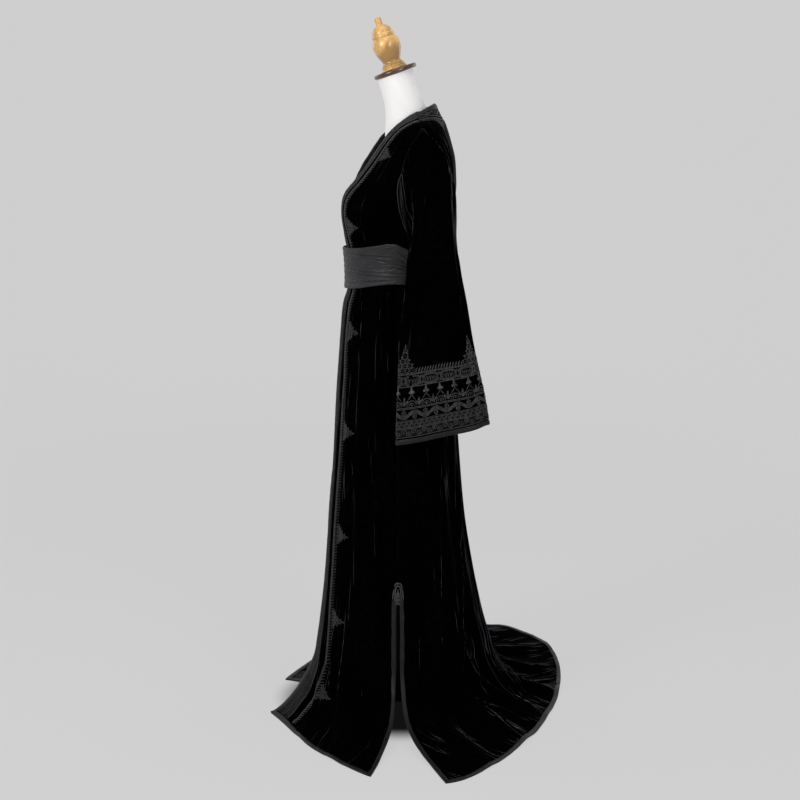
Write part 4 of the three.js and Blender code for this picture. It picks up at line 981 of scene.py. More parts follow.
for p, seed in ((sl, 21), (sr, 22)):
    p.add(1.1 * noise(np.cos(p.U * 2 * np.pi) * 1.7 + 5, p.V * .8 + np.sin(p.U * 2 * np.pi) * 1.7, seed))
    p.off *= sm(0, .8, p.V) * (1 - .8 * sm(7.4, 8.6, p.V))    # the cuff is stiff with embroidery
    p.settle()
    p.P[..., 1] += 7.5 * bump(p.U - .25, .30) * sm(3.0, 4.2, p.V) * (1 - sm(5.8, 6.9, p.V))
    p.N = p.normals()

CLOTH = {}
for name, p in (("left_front", left), ("right_front", right), ("left_back", bl), ("right_back", br), ("left_sleeve", sl), ("right_sleeve", sr)):
    CLOTH[name] = cloth(name + "_cloth", p, replaces=[name])


# ------------------------------------------------------------------ bands along the edges
def even(panel, fixed, axis, a, b, n):
    """n parameter values evenly spaced along one edge of a panel."""
    s = np.linspace(a, b, 1500)
    P, _ = panel.at(s, np.full(1500, fixed)) if axis == "u" else panel.at(np.full(1500, fixed), s)
    c = np.r_[0, np.cumsum(np.linalg.norm(np.diff(P, axis=0), axis=1))]
    return np.interp(np.linspace(0, c[-1], n), c, s)


class Edge(Band):
    def __init__(self, panel, kind, a, b, n, dmax, mid=0.0, far=None):
        if kind == "front":                                       # u = 0, going down
            st = even(panel, 0.0, "v", a, b, n)
            U, V = np.meshgrid(np.linspace(0, 1, 110), st)
        elif kind == "slit":                                      # u = +-1, going down
            st = even(panel, far, "v", a, b, n)
            U, V = np.meshgrid(np.linspace(far, far * .5, 60), st)
        elif kind == "hem":                                       # v = the hem
            st = even(panel, V_HEM, "u", a, b, n)
            V, U = np.meshgrid(np.linspace(V_HEM, V_HEM - 3, 60), st)
        else:                                                     # v = 0, the back neck
            st = even(panel, 0.0, "u", a, b, n)
            V, U = np.meshgrid(np.linspace(0, 4, 120), st)
        super().__init__(panel, U, V, dmax, mid)
        self.st = st

    def t_of(self, s):
        s = np.asarray(s, float)
        return np.interp(s, self.st, self.T) if self.st[0] < self.st[-1] else np.interp(-s, -self.st, self.T)

    def s_of(self, t):
        return np.interp(t, self.T, self.st)


BIND = [(12.2, 2.15), (11.6, 3.0), (9.5, 3.6), (5.5, 3.9), (1.5, 3.7), (-.7, 3.2), (-1.9, 2.2), (-2.2, 1.0), (-1.9, -.2), (-.8, -1.1), (1.0, -1.5),
        (5, -1.6), (9, -1.4), (11, -1.0), (10.8, -.25), (4, -.3), (0, -.3), (-.5, .2), (-.6, 1.0), (-.5, 1.8), (0, 2.2), (4, 2.2), (10.5, 2.15)]


def tube(heap, G, uv=None):
    """Rings G (stations, points, 3) joined into a closed tube with ends."""
    ns, k = G.shape[:2]
    c = G.mean(1)
    q = sheet_faces(ns, k, True, False)
    p = G.reshape(-1, 3)
    f = q[len(q) // 2]
    nrm = np.cross(p[f[1]] - p[f[0]], p[f[3]] - p[f[0]])
    # the volume's sign says which way the faces turn
    A, B, C, D = (p[q[:, i]] for i in range(4))
    vol = (A * np.cross(B, C)).sum() + (A * np.cross(C, D)).sum()
    i = np.arange(k)
    V = np.concatenate([p, c[:1], c[-1:]])
    t0 = np.stack([(i + 1) % k, i, np.full(k, ns * k)], -1)
    t1 = np.stack([(ns - 1) * k + i, (ns - 1) * k + (i + 1) % k, np.full(k, ns * k + 1)], -1)
    del f, nrm, D
    if vol < 0:
        q, t0, t1 = q[:, ::-1], t0[:, ::-1], t1[:, ::-1]
    if uv is None:
        s = np.r_[0, np.cumsum(np.linalg.norm(np.diff(c, axis=0), axis=1))]
        w = np.concatenate([np.zeros((ns, 1)), np.cumsum(np.linalg.norm(np.diff(G, axis=1), axis=2), 1)], 1)
        uv = np.stack([np.broadcast_to(s[:, None], (ns, k)), w], -1)
    uv = np.concatenate([uv.reshape(-1, 2), [[0, 0], [0, 0]]])
    heap.add(V, q, np.concatenate([t0, t1]), uv)


def binding(name, node_name, band, t0, t1, wave=0.35, seed=0, narrow=1.0):
    """Bias satin folded over an edge."""
    n = max(24, int((t1 - t0) / 4.0))
    t = np.linspace(t0, t1, n)[:, None]
    prof = np.array(BIND)
    d = np.where(prof[None, :, 0] > 0, narrow, 1.0) * prof[None, :, 0] + np.zeros_like(t)
    pull = 1 + .10 * noise(t / 21, t * 0, seed)                   # the fold is a little uneven
    P, N = band.at(t, d * pull)
    hh = prof[None, :, 1] + wave * noise(t / 9 + d / 5, d / 6, seed + 1) * (prof[None, :, 1] > 2.5)
    G = P + N * hh[..., None]
    G[..., 2] = np.maximum(G[..., 2], .15)
    h = Heap()
    tube(h, G)
    return h.make(name, "binding_satin", "binding_satin", [node_name])


fe_l, fe_r = (Edge(p, "front", 0, V_HEM, 900, 200, 32) for p in (left, right))
fs_l, fs_r = (Edge(p, "slit", 17.6, V_HEM, 300, 40, 6, far=.9995) for p in (left, right))
bs_l, bs_r = Edge(bl, "slit", 17.6, V_HEM, 300, 40, 6, far=.9995), Edge(br, "slit", 17.6, V_HEM, 300, 40, 6, far=-.9995)
fh_l, fh_r = (Edge(p, "hem", 0, .9995, 260, 40, 6) for p in (left, right))
bh_l, bh_r = Edge(bl, "hem", .0006, .9995, 420, 40, 6), Edge(br, "hem", -.9995, -.0006, 420, 40, 6)
nb_l, nb_r = Edge(bl, "neck", .0006, .9995, 90, 120, 6), Edge(br, "neck", -.9995, -.0006, 90, 120, 6)

SHEETS = []
for side, fe, fs, bs, fh, bh, nb in (("left", fe_l, fs_l, bs_l, fh_l, bh_l, nb_l), ("right", fe_r, fs_r, bs_r, fh_r, bh_r, nb_r)):
    k = 0 if side == "left" else 40
    for nm, band, t0, t1 in ((f"{side}_edge_binding", fe, 0, fe.length), (f"{side}_slit_front_binding", fs, fs.t_of(SLIT_V), fs.length),
                             (f"{side}_slit_back_binding", bs, bs.t_of(SLIT_V), bs.length), (f"{side}_front_hem_binding", fh, 6, fh.length - 6),
                             (f"{side}_back_hem_binding", bh, 2 if side == "left" else 6, bh.length - (6 if side == "left" else 2)),
                             (f"{side}_back_neck_binding", nb, 0, nb.length)):
        slit = "slit" in nm
        ob = binding(nm + "_satin", nm, band, t0, t1, seed=k, narrow=.79 if slit else 1.0)
        SHEETS.append((ob, (.0235 if slit else .0285, (t1 - t0) * MM), nm, side))
        k += 3

# ------------------------------------------------------------------ cuffs: cords laid in bands
EMB = {}


def line(band, d, t0=0, t1=None, step=5.0):
    t1 = band.length if t1 is None else t1
    n = max(8, int((t1 - t0) / step))
    closed = band.closed and t0 == 0 and t1 == band.length
    t = np.linspace(t0, t1, n, endpoint=not closed)
    return np.stack([t, np.full(n, float(d))], -1), closed


def cuff(side, panel):
    us = np.arange(264) / 264
    V = np.linspace(SLEEVE_LAST, SLEEVE_LAST - 3.4, 140)
    Vg, Ug = np.meshgrid(V, us)
    band = Band(panel, Ug, Vg, 300, 40, closed=True)
    L = band.length
    # the rows of cords run closer together towards the back of the cuff
    at_u = lambda t: np.interp(t % L, band.T, np.r_[us, 1.0])
    band.scale = lambda t: .962 + .042 * np.sin(2 * np.pi * at_u(t))
    base = Heap()
    n = int(L / 4)
    t, d = np.meshgrid(np.arange(n) / n * L, np.linspace(15.0, 57.5, 11), indexing="xy")
    P, N = band.at(t, d)
    flip = panel.out < 0
    slab(base, P + N * (TOP - .2), P + N * (TOP + .5), True, flip, uv=np.stack([t, d], -1))
    ribbon = base.make(f"{side}_cuff_ribbon", "braid_ground", "braid", [f"{side}_cuff_braid"])
    SHEETS.append((ribbon, (.0425, L * MM), f"{side}_cuff_braid", side))

    h = Heap()
    hb = TOP + .4

    def ln(d, r=1.2, hh=TOP - .5):
        c, cl = line(band, d)
        cords(h, band, c, r, hh, closed=cl)

    def wave(d0, amp, count, phase=0.0, r=1.2, per=12, hh=TOP - .4):
        n = count * per
        t = np.arange(n) / n * L
        cords(h, band, np.stack([t, d0 + amp * np.sin(2 * np.pi * t / L * count + phase)], -1), r, hh, closed=True)

    def zig(d0, amp, count, r, hh, off=0.0):
        n = count * 6
        x = np.arange(n) / 6
        f = np.abs((x % 1) * 2 - 1) * 2 - 1
        cords(h, band, np.stack([x / count * L, d0 + off + amp * f], -1), r, hh, closed=True)

    # 1 curls: rings at two heights tied by slanted strokes
    ln(16.0, 1.0, hb)
    ln(37.2, 1.15, hb)
    c1 = int(round(L / 13.2))
    p1 = L / c1
    eye = [[(k + .5) * p1, 27.0 + (2.6 if k % 2 else -2.6)] for k in range(c1)]
    cords(h, band, rings(eye, 4.9, 12), .95, hb, closed=True)
    studs(h, band, eye, 1.7, 1.5, hb)
    cords(h, band, [[[k * p1 - 2.6, 33.6 - (0 if k % 2 else 11)], [k * p1, 32.0 - (0 if k % 2 else 10)], [k * p1 + 2.6, 33.6 - (0 if k % 2 else 11)]] for k in range(c1)], 1.0, hb)
    # 2 stripes and chevrons
    ln(40.6, .95, hb)
    c2 = int(round(L / 13.0))
    for off in (-2.1, 2.1):
        zig(47.6, 3.9, c2, .9, hb, off)
    ln(54.6, .95, hb)
    ln(57.4, 1.1)
    # 3 waving ribbon with rosettes in the hollows
    c3 = int(round(L / 55))
    for off in (-3.5, 0, 3.5):
        wave(71.6 + off, 6.6, c3, 0, 1.3, 20)
    for k in range(c3):
        for x, y, up in (((k + .75) / c3 * L, 76.4, 1), ((k + .25) / c3 * L, 66.8, -1)):
            cords(h, band, rings([[x, y]], 4.9, 12), 1.25, closed=True)
            studs(h, band, [[x, y]], 2.2, 1.9)
            cords(h, band, leaves([[x, y + up * 4.6]], math.pi / 2 * up, 5.2, 1.7), .9, closed=True, sides=3)
    ln(86.2, 1.0)
    # 4 scallops under the buds, with a trefoil between them
    c4 = int(round(L / 39.5))
    p4 = L / c4
    ln(89.2, 1.1)
    x = np.linspace(-1, 1, 15)
    for k, amp in ((1.0, 15.0), (.62, 9.0)):
        arcs = [np.stack([i * p4 + x * 12.5 * k, 90.6 + amp * (1 - np.abs(x) ** 2.4) ** .62], -1) for i in range(c4)]
        cords(h, band, arcs, 1.2 if k > .7 else 1.0)
    studs(h, band, [[i * p4, 94.6] for i in range(c4)], 2.2, 1.8)
    fl = [[(i + .5) * p4, 97.5] for i in range(c4)]
    for a, lg, wd in ((-.95, 10.5, 2.9), (.95, 10.5, 2.9), (0, 13.5, 3.1)):
        cords(h, band, leaves(fl, math.pi / 2 + a, lg, wd), 1.15, closed=True)
    cords(h, band, rings(fl, 2.9, 9), 1.1, closed=True)
    studs(h, band, [[x0, 112.6] for x0, _ in fl] + [[x0 + a * 8.3, 104.6] for x0, _ in fl for a in (-1, 1)], 2.0, 1.7)
    # 5 buds on forked stems, on bare velvet
    stems = []
    for i in range(c4):
        c = i * p4
        for a in (-1, 1):
            stems.append([[c + a * 10.5, 107.5], [c + a * 7.0, 111.5], [c + a * 3.0, 117.0], [c + a * .3, 122.5]])
    cords(h, band, stems, 1.15)
    studs(h, band, [[i * p4, 127.6] for i in range(c4)], 5.4, 3.2, n=10)
    studs(h, band, [[i * p4 + a * 4.9, 126.2] for i in range(c4) for a in (-1, 1)], 3.5, 2.4)
    cords(h, band, leaves([[i * p4, 128.5] for i in range(c4)], math.pi / 2, 11.5, 2.7), 1.5, closed=True)
    studs(h, band, [[i * p4, 133.6] for i in range(c4)], 2.9, 2.4)
    # 6 cartouches with upright bars
    ln(141.6, 1.45)
    c6 = int(round(L / 50))
    p6 = L / c6
    a = np.arange(28) / 28 * 2 * np.pi
    sq = lambda w, e: np.sign(w) * np.abs(w) ** e
    for k, kd in ((1.0, 1.0), (.84, .74)):
        loops = [np.stack([(i + .5) * p6 + 21.0 * k * sq(np.cos(a), .5), 156.6 + 12.2 * kd * sq(np.sin(a), .62)], -1) for i in range(c6)]
        cords(h, band, loops, 1.45 if k > .9 else 1.05, closed=True)
    for x0 in (-10.5, -3.5, 3.5, 10.5):
        arch = np.array([[-2.5, 149.4], [-2.5, 154.0], [-2.3, 158.4], [0, 161.0], [2.3, 158.4], [2.5, 154.0], [2.5, 149.4]])
        cords(h, band, [arch + [(i + .5) * p6 + x0, 0] for i in range(c6)], .95)
    for y in (148.8, 164.2):
        cords(h, band, rings([[i * p6, y] for i in range(c6)], 2.9, 9), 1.1, closed=True)
    ln(172.2, 1.3)
    ln(174.8, 1.0)
    # 7 stepped triangles at the folds, with a comb of slanted strokes between them
    t_u = lambda u: np.interp(u % 1, np.r_[us, 1.0], band.T)
    tri = [t_u(.150), t_u(.350), t_u(-.160), t_u(-.345)]
    for c in tri:
        for m, pitch, r, y in ((4, 15.0, 6.3, 182.4), (3, 14.8, 6.3, 194.6), (2, 14.2, 6.2, 206.4), (1, 0, 7.8, 219.2), (1, 0, 5.2, 232.4)):
            cen = [[c + (k - (m - 1) / 2) * pitch, y] for k in range(m)]
            cords(h, band, rings(cen, r, 12), 1.15, closed=True)
            studs(h, band, cen, r * .20 + .4, 1.6)
        studs(h, band, [[c, 241.0], [c - 15.4, 208.6], [c + 15.4, 208.6], [c - 23.0, 197.4], [c + 23.0, 197.4], [c - 10.0, 216.6], [c + 10.0, 216.6], [c - 6.2, 227.6], [c + 6.2, 227.6]], 2.0, 1.8)
        cords(h, band, leaves([[c, 241.0]], math.pi / 2, 7.0, 1.6), 1.0, closed=True)
    strokes = []
    count = int(round(L / 8.1))
    for k in range(count):
        tt = k / count * L
        if min(abs((tt - c + L / 2) % L - L / 2) for c in tri) > 33:
            strokes.append([[tt + 2.2, 175.4], [tt + .8, 179.0], [tt - 1.0, 183.0], [tt - 2.8, 187.4]])
    cords(h, band, strokes, 1.7)
    ob = h.make(f"{side}_cuff_embroidery", "cord_thread", "braid", sharp=0)
    EMB.setdefault(f"{side}_sleeve", []).append(ob)

    # satin edge of the cuff
    band.scale = None
    hs = Heap()
    n = int(L / 4)
    t = np.arange(n) / n * L
    prof = np.array([(11.6, 2.1), (11.1, 2.9), (9.4, 3.3), (6, 3.6), (2.6, 3.4), (-.1, 3.0), (-1.2, 2.2), (-1.6, 1.0), (-1.3, -.3), (-.5, -1.1), (2.0, -1.5), (7, -1.6),
                     (10.2, -1.1), (10.2, -.3), (5, -.3), (0, -.3), (-.5, .2), (-.6, 1.0), (-.5, 1.8), (0, 2.2), (5, 2.2), (10.6, 2.1)])
    d = prof[None, :, 0] * (1 + .06 * noise(t / 23, t * 0, 5))[:, None]
    P, N = band.at(t[:, None], d)
    hh = prof[None, :, 1] + .35 * noise(t[:, None] / 10 + d / 5, d / 6, 8) * (prof[None, :, 1] > 2.5)
    G = P + N * hh[..., None]
    q = sheet_faces(n, len(prof), True, False)
    ring2 = np.stack([np.arange(len(prof)), (np.arange(len(prof)) + 1) % len(prof)], -1)
    last = np.stack([(n - 1) * len(prof) + ring2[:, 0], (n - 1) * len(prof) + ring2[:, 1], ring2[:, 1], ring2[:, 0]], -1)
    q = np.concatenate([q, last])
    p = G.reshape(-1, 3)
    o = p.mean(0)
    A, B, C, D = (p[q[:, i]] - o for i in range(4))
    if (A * np.cross(B, C)).sum() + (A * np.cross(C, D)).sum() < 0:
        q = q[:, ::-1]
    w = np.cumsum(np.r_[0, np.linalg.norm(np.diff(prof, axis=0), axis=1)])
    hs.add(p, q, uv=np.stack(np.broadcast_arrays(t[:, None], w[None, :]), -1).reshape(-1, 2))
    ob = hs.make(f"{side}_cuff_satin", "binding_satin", "binding_satin", [f"{side}_cuff_binding"])
    SHEETS.append((ob, (.0268, L * MM), f"{side}_cuff_binding", side))


cuff("left", sl)
cuff("right", sr)


# ------------------------------------------------------------------ front borders and trims
def front(side, band):
    t_all = lambda v: band.t_of(v)
    out = lambda t: np.interp(band.s_of(t), BORDERS[:, 0], BORDERS[:, 1])
    tr0 = lambda t: np.interp(band.s_of(t), BORDERS[:, 0], BORDERS[:, 2])
    tr1 = lambda t: np.interp(band.s_of(t), BORDERS[:, 0], BORDERS[:, 3])
    tb, te = t_all(.16), band.length - 14.5
    room = lambda t: np.interp(t, band.T, band.wide) - 2.5
    panel_out = 1 if side == "left" else -1
    # the border's ground, tapering into the shoulder seam
    n = int((te - tb) / 6)
    t = np.linspace(tb, te, n)[:, None]
    q = np.linspace(0, 1, 11)[None, :]
    d = 13.0 + q * (np.clip(room(t), 14.5, out(t)) - 13.0)
    P, N = band.at(t, d)
    h = Heap()
    slab(h, P + N * (TOP - .2), P + N * (TOP + .45), False, panel_out > 0, uv=np.stack(np.broadcast_arrays(t, d), -1))
    ob = h.make(f"{side}_border_ribbon", "braid_ground", "braid", [f"{side}_front_border"])
    SHEETS.append((ob, (.059, (te - tb) * MM), f"{side}_front_border", side))

    h = Heap()
    hb = TOP + .35
    ts0 = np.linspace(tb, te, 4000)
    dq = lambda t, q: 13.0 + q * (out(t) - 13.0)

    def start(f):
        """Where a line at the distance f(t) from the edge comes out of the shoulder seam."""
        ok = f(ts0) < room(ts0)
        return ts0[np.argmax(ok)]

    def strip(f, r, step=5.0, hh=hb):
        t = np.linspace(start(f), te, int((te - tb) / step))
        cords(h, band, np.stack([t, f(t)], -1), r, hh)

    for qq, r in ((.03, 1.05), (.97, 1.15)):
        strip(lambda t, qq=qq: dq(t, qq), r)
    strip(lambda t: dq(t, .5) + (out(t) - 13) * .045 * np.sin(t / 8.6), .9, 2.9)
    # rows of small rings, larger where the border widens, with a knot in every other one
    for row, qq in enumerate((.175, .365, .635, .825)):
        f = lambda t, qq=qq: dq(t, qq)
        t, cen, rad = start(lambda t, f=f: f(t) + 4.0) + (row % 2) * 4.6, [], []
        while t < te - 4:
            w = float(out(np.array(t))) - 13.0
            r = .066 * w + .9
            cen.append([t, float(f(np.array(t)))])
            rad.append(r)
            t += 2.55 * r
        cen, rad = np.array(cen), np.array(rad)
        cords(h, band, rings(cen, rad, 9), .85, hb, 3, True, flat=.6)
        studs(h, band, cen[::2], 1.1, .7, hb, n=6)
        # short leaves linking one ring to the next, this way and that
        mid = (cen[1:] + cen[:-1]) / 2
        k = np.arange(len(mid))
        turn = np.where(k % 2 == 0, 1, -1)[:, None] * (1 if row % 2 else -1)
        x = np.array([-1.5, 0, 1.5])
        cords(h, band, np.stack([mid[:, :1] + x, mid[:, 1:] + turn * (x * 1.1 + .4 * rad[1:, None])], -1)[::2], .85, hb, 3, flat=.6)
    ob = h.make(f"{side}_border_embroidery", "border_thread", "braid", sharp=0)
    EMB.setdefault(f"{side}_front", []).append(ob)

    # trim: two cords, slanted strokes and picots
    h = Heap()
    te = band.length - 14.5
    for off, r in ((.6, 1.5), (3.6, 1.6)):
        strip(lambda t, off=off: tr0(t) + off, r, 4.5, TOP - .4)
    ts = start(lambda t: tr0(t) + 13)
    m = int((te - ts) / 7.3)
    c = ts + (np.arange(m) + .5) / m * (te - ts)
    base = tr0(c)
    st = np.stack([np.stack([c + 2.0, base + 4.8], -1), np.stack([c + .2, base + 8.0], -1), np.stack([c - 1.6, base + 11.2], -1)], 1)
    cords(h, band, st, 1.7)
    studs(h, band, np.stack([c - 2.2, base + 13.4], -1), 1.7, 1.5)
    for v in (3.55, 7.55, 12.72, 15.22, 17.12, 18.95, 22.1):
        c0 = float(t_all(v))
        if v < 4:
            # on the neckline the motif is a smaller stepped triangle of rings
            b0 = float(tr1(np.array(c0))) - 3
            pyramid(h, band, c0, b0, 4.7, 4)
        else:
            pyramid(h, band, c0, float(tr1(np.array(c0))) - 5, 5.7 if v < 9 else 6.0, 4)
    ob = h.make(f"{side}_trim_cords", "border_thread", "braid", [f"{side}_front_trim"], sharp=0)
    EMB.setdefault(f"{side}_front", []).append(ob)


front("left", fe_l)
front("right", fe_r)


# ------------------------------------------------------------------ back of the neck
def nape(side, band, panel):
    L = band.length
    P, N = band.at(np.linspace(0, L, 40)[None, :], np.linspace(13, 40, 8)[:, None])
    h = Heap()
    slab(h, P + N * (TOP - .2), P + N * (TOP + .5), False, panel.out > 0)
    ob = h.make(f"{side}_nape_ribbon", "braid_ground", "braid", [f"{side}_back_neck_border"])
    area = float(np.linalg.norm(np.cross(np.diff(P, axis=0)[:, :-1], np.diff(P, axis=1)[:-1]), axis=-1).sum()) * 1e-6
    SHEETS.append((ob, (area / .0275, .0275), f"{side}_back_neck_border", side))
    h = Heap()
    hb = TOP + .45
    Lm = L
    t = np.linspace(0, Lm, 60)
    for d, r, hh in ((14.4, 1.1, hb), (39.4, 1.2, hb), (48, 1.3, TOP - .4), (51.4, 1.0, TOP - .4)):
        cords(h, band, np.stack([t, np.full(60, d)], -1), r, hh)
    count = max(2, int(round(Lm / 30)))
    p = Lm / count
    tt = np.linspace(0, Lm, count * 14)
    for off in (-1.5, 1.5):
        cords(h, band, np.stack([tt, 27 + off + 5.6 * np.sin(2 * np.pi * tt / p)], -1), .85, hb)
    cen = [[(k * .5 + .25) * p, 27 + (3.4 if k % 2 else -3.4)] for k in range(count * 2)]
    pet = [[x + 3.4 * math.cos(a), y + 3.4 * math.sin(a)] for x, y in cen[::2] for a in np.arange(6) / 6 * 2 * np.pi]
    cords(h, band, rings(pet, 1.7, 8), .7, hb, 3, True)
    studs(h, band, cen, 1.6, 1.4, hb)
    m = int(Lm / 5.2)
    c = (np.arange(m) + .5) / m * Lm
    cords(h, band, np.stack([np.stack([c - 1.2, 0 * c + 51.8], -1), np.stack([c, 0 * c + 54], -1), np.stack([c + 1.2, 0 * c + 56], -1)], 1), 1.0)
    a = np.linspace(-.15 * np.pi, 1.15 * np.pi, 8)
    cords(h, band, np.stack([c[:, None] + 2.4 * np.cos(a), 58.4 + 2.4 * np.sin(a) + 0 * c[:, None]], -1), .8)
    pyramid(h, band, Lm * .42, 58.5, 4.6, 3)
    ob = h.make(f"{side}_nape_embroidery", "border_thread", "braid", sharp=0)
    EMB.setdefault(f"{side}_back", []).append(ob)


nape("left", nb_l, bl)
nape("right", nb_r, br)


# ------------------------------------------------------------------ armhole piping
for side, s in (("left", 1), ("right", -1)):
    n = 260
    phi = np.arange(n) / n * 2 * np.pi
    a = armhole(phi)
    o = unit(np.stack([np.zeros(n), a[:, 1] - 50, a[:, 2] - 1372], -1))
    c = np.stack([s * (a[:, 0] + 1.2), a[:, 1], a[:, 2]], -1) + o * (5.4 + np.where(np.cos(phi) > 0, 1.9, 4.0) * np.cos(phi) ** 2 + 1.2 * np.maximum(0, -np.sin(phi))
                                                       - 3.0 * sm(-.02, .25, np.cos(phi)) * sm(-.3, .3, np.sin(phi)))[:, None]
    k = 9
    w = np.arange(k) / k * 2 * np.pi
    G = c[:, None] + (1.2 + .6 * np.maximum(0, np.sin(phi)) * (np.cos(phi) < .1) - .7 * sm(0, .3, np.cos(phi)))[:, None, None] * (o[:, None] * np.cos(w)[None, :, None] + np.array([s, 0, 0]) * np.sin(w)[None, :, None])
    q = sheet_faces(n, k, True, s > 0)
    i = np.arange(k)
    last = np.stack([(n - 1) * k + i, (n - 1) * k + (i + 1) % k, (i + 1) % k, i], -1)
    q = np.concatenate([q, last[:, ::-1] if s > 0 else last])
    h = Heap()
    t = np.arange(n) / n * 760
    h.add(G.reshape(-1, 3), q, uv=np.stack(np.broadcast_arrays(t[:, None], (w * 2)[None, :]), -1).reshape(-1, 2))
    h.make(f"{side}_piping_cord", "piping_satin", "binding_satin", [f"{side}_arm_piping"], sharp=0)


# ------------------------------------------------------------------ knots at the tops of the slits
class Flat:
    """Stands in for a band: (t, d) are y and z on the side of the skirt."""
    closed = False

    def __init__(self, s):
        self.s = s

    def at(self, y, z):
        y, z = np.broadcast_arrays(np.asarray(y, float), np.asarray(z, float))
        r = level(FRONT, np.interp(z, FRONT[::-1, 5], np.arange(len(FRONT))[::-1]))
        x = r[..., 3] - .010 * (y + 5) ** 2
        N = unit(np.stack([np.full(y.shape, self.s * 1.0), .02 * (y + 5), np.full(y.shape, .09)], -1))
        return np.stack([self.s * x, y, z], -1), N


for side, s in (("left", 1), ("right", -1)):
    f, h = Flat(s), Heap()
    a = np.arange(40) / 40 * 2 * np.pi
    # two cords arched over the top of the slit, each side of a knotted middle
    b = np.linspace(-1, 1, 27)
    for half, top, r, lift in ((13.0, 380.5, 2.3, 2.5), (8.2, 374.0, 2.0, 2.8)):
        x = half * np.sign(b) * np.abs(b) ** .55
        z = top - 47.0 * np.abs(b) ** 2.6
        cords(h, f, np.stack([-5 + x, z], -1), r, lift, 6)
    cords(h, f, np.stack([np.full(9, -5.0), np.linspace(347, 366, 9)], -1), 1.2, 3.0, 5)
    # lobes bound one over another at the foot of the arch
    for z0, rr in ((354.0, 3.4), (344.0, 4.0), (333.5, 4.8)):
        cords(h, f, rings([[-5, z0]], rr, 14, .9), 1.5, 3.8, 6, True)
        studs(h, f, [[-5, z0]], 2.1, 3.0, 3.4, n=10)
    for z0, ww in ((349.0, 5.0), (338.8, 6.2), (327.8, 7.4)):
        cords(h, f, [[[-5 - ww, z0 - 1.2], [-5 - ww * .5, z0 + .5], [-5, z0 + 1], [-5 + ww * .5, z0 + .5], [-5 + ww, z0 - 1.2]]], 1.5, 4.0, 6)
    h.make(f"{side}_knot_cords", "cord_thread", "braid", [f"{side}_slit_knot"], sharp=0)

# ------------------------------------------------------------------ sash
NZ, ND = 48, 361
Z = np.linspace(1240, 1092, NZ)
DEG = np.linspace(0, 360, ND)
GIRTH = np.zeros((NZ, ND, 2))
for j, z in enumerate(Z):
    half = {}
    for key, T, frm in (("f", FRONT, .1), ("b", BACK, 0.0)):
        vv = np.linspace(7, 14, 400)
        v = np.interp(-z, -level(T, vv)[:, 2], vv)
        u = np.linspace(frm, 1, 120)
        L = section(level(T, np.full(120, v)), u)[:, :2]
        s = np.r_[0, np.cumsum(np.linalg.norm(np.diff(L, axis=0), axis=1))]
        half[key] = (L, s / s[-1])
    b = np.where(DEG <= 180, DEG, 360 - DEG)
    for key, fr, m in (("f", b / 90, b <= 90), ("b", (180 - b) / 90, b > 90)):
        L, s = half[key]
        for c in (0, 1):
            GIRTH[j, m, c] = np.interp(fr[m], s, L[:, c])
    GIRTH[j, :, 0] *= np.where(DEG <= 180, 1, -1)
    GIRTH[j, (DEG == 0) | (DEG == 180) | (DEG == 360), 0] = 0
nt_, nw = 220, 72
th = np.arange(nt_) / nt_ * 360
wv = np.linspace(0, 1, nw)
TH, W = np.meshgrid(th, wv)
sp = lambda c: np.interp(TH, SASH_EDGE[:, 0], SASH_EDGE[:, c])
soften = lambda c: (sp(c) * 2 + np.interp((TH + 9) % 360, SASH_EDGE[:, 0], SASH_EDGE[:, c]) + np.interp((TH - 9) % 360, SASH_EDGE[:, 0], SASH_EDGE[:, c])) / 4
top_z, bot_z = soften(1), soften(2)
ZZ = lerp(top_z, bot_z, W)
fj = np.clip((Z[0] - ZZ) / (Z[0] - Z[-1]) * (NZ - 1), 0, NZ - 1.001)
j0 = np.floor(fj).astype(int)
fi = TH / 360 * (ND - 1)
i0 = np.minimum(np.floor(fi).astype(int), ND - 2)
gx = lerp(lerp(GIRTH[j0, i0], GIRTH[j0, i0 + 1], (fi - i0)[..., None]), lerp(GIRTH[j0 + 1, i0], GIRTH[j0 + 1, i0 + 1], (fi - i0)[..., None]), (fj - j0)[..., None])
turn = (TH + 180) % 360 - 180
ang = np.radians(TH)
# pleats: laid folds that wander, die out and start again, with sharp wrinkles drawn across them
drift = .55 * np.sin(ang * 1.0 + .6) + .30 * np.sin(ang * 2 + 2.1) + .35 * noise(np.cos(ang) * 2.2 + 7, np.sin(ang) * 2.2 + W * 1.2, 31)
phase = W * 6.4 + drift
row = np.floor(phase)
s = phase - row
depth = .30 + .30 * noise(row * 3.7 + np.cos(ang) * 1.6, row * 1.3 + np.sin(ang) * 1.6, 33)
lap = (s ** 1.7) * (1 - sm(.80, 1.0, s))
fine = .22 * noise(phase * 3.1, np.cos(ang) * 3 + 9, 35) + .45 * noise(np.cos(ang) * 4 + 3, np.sin(ang) * 4 + W * 4, 36)
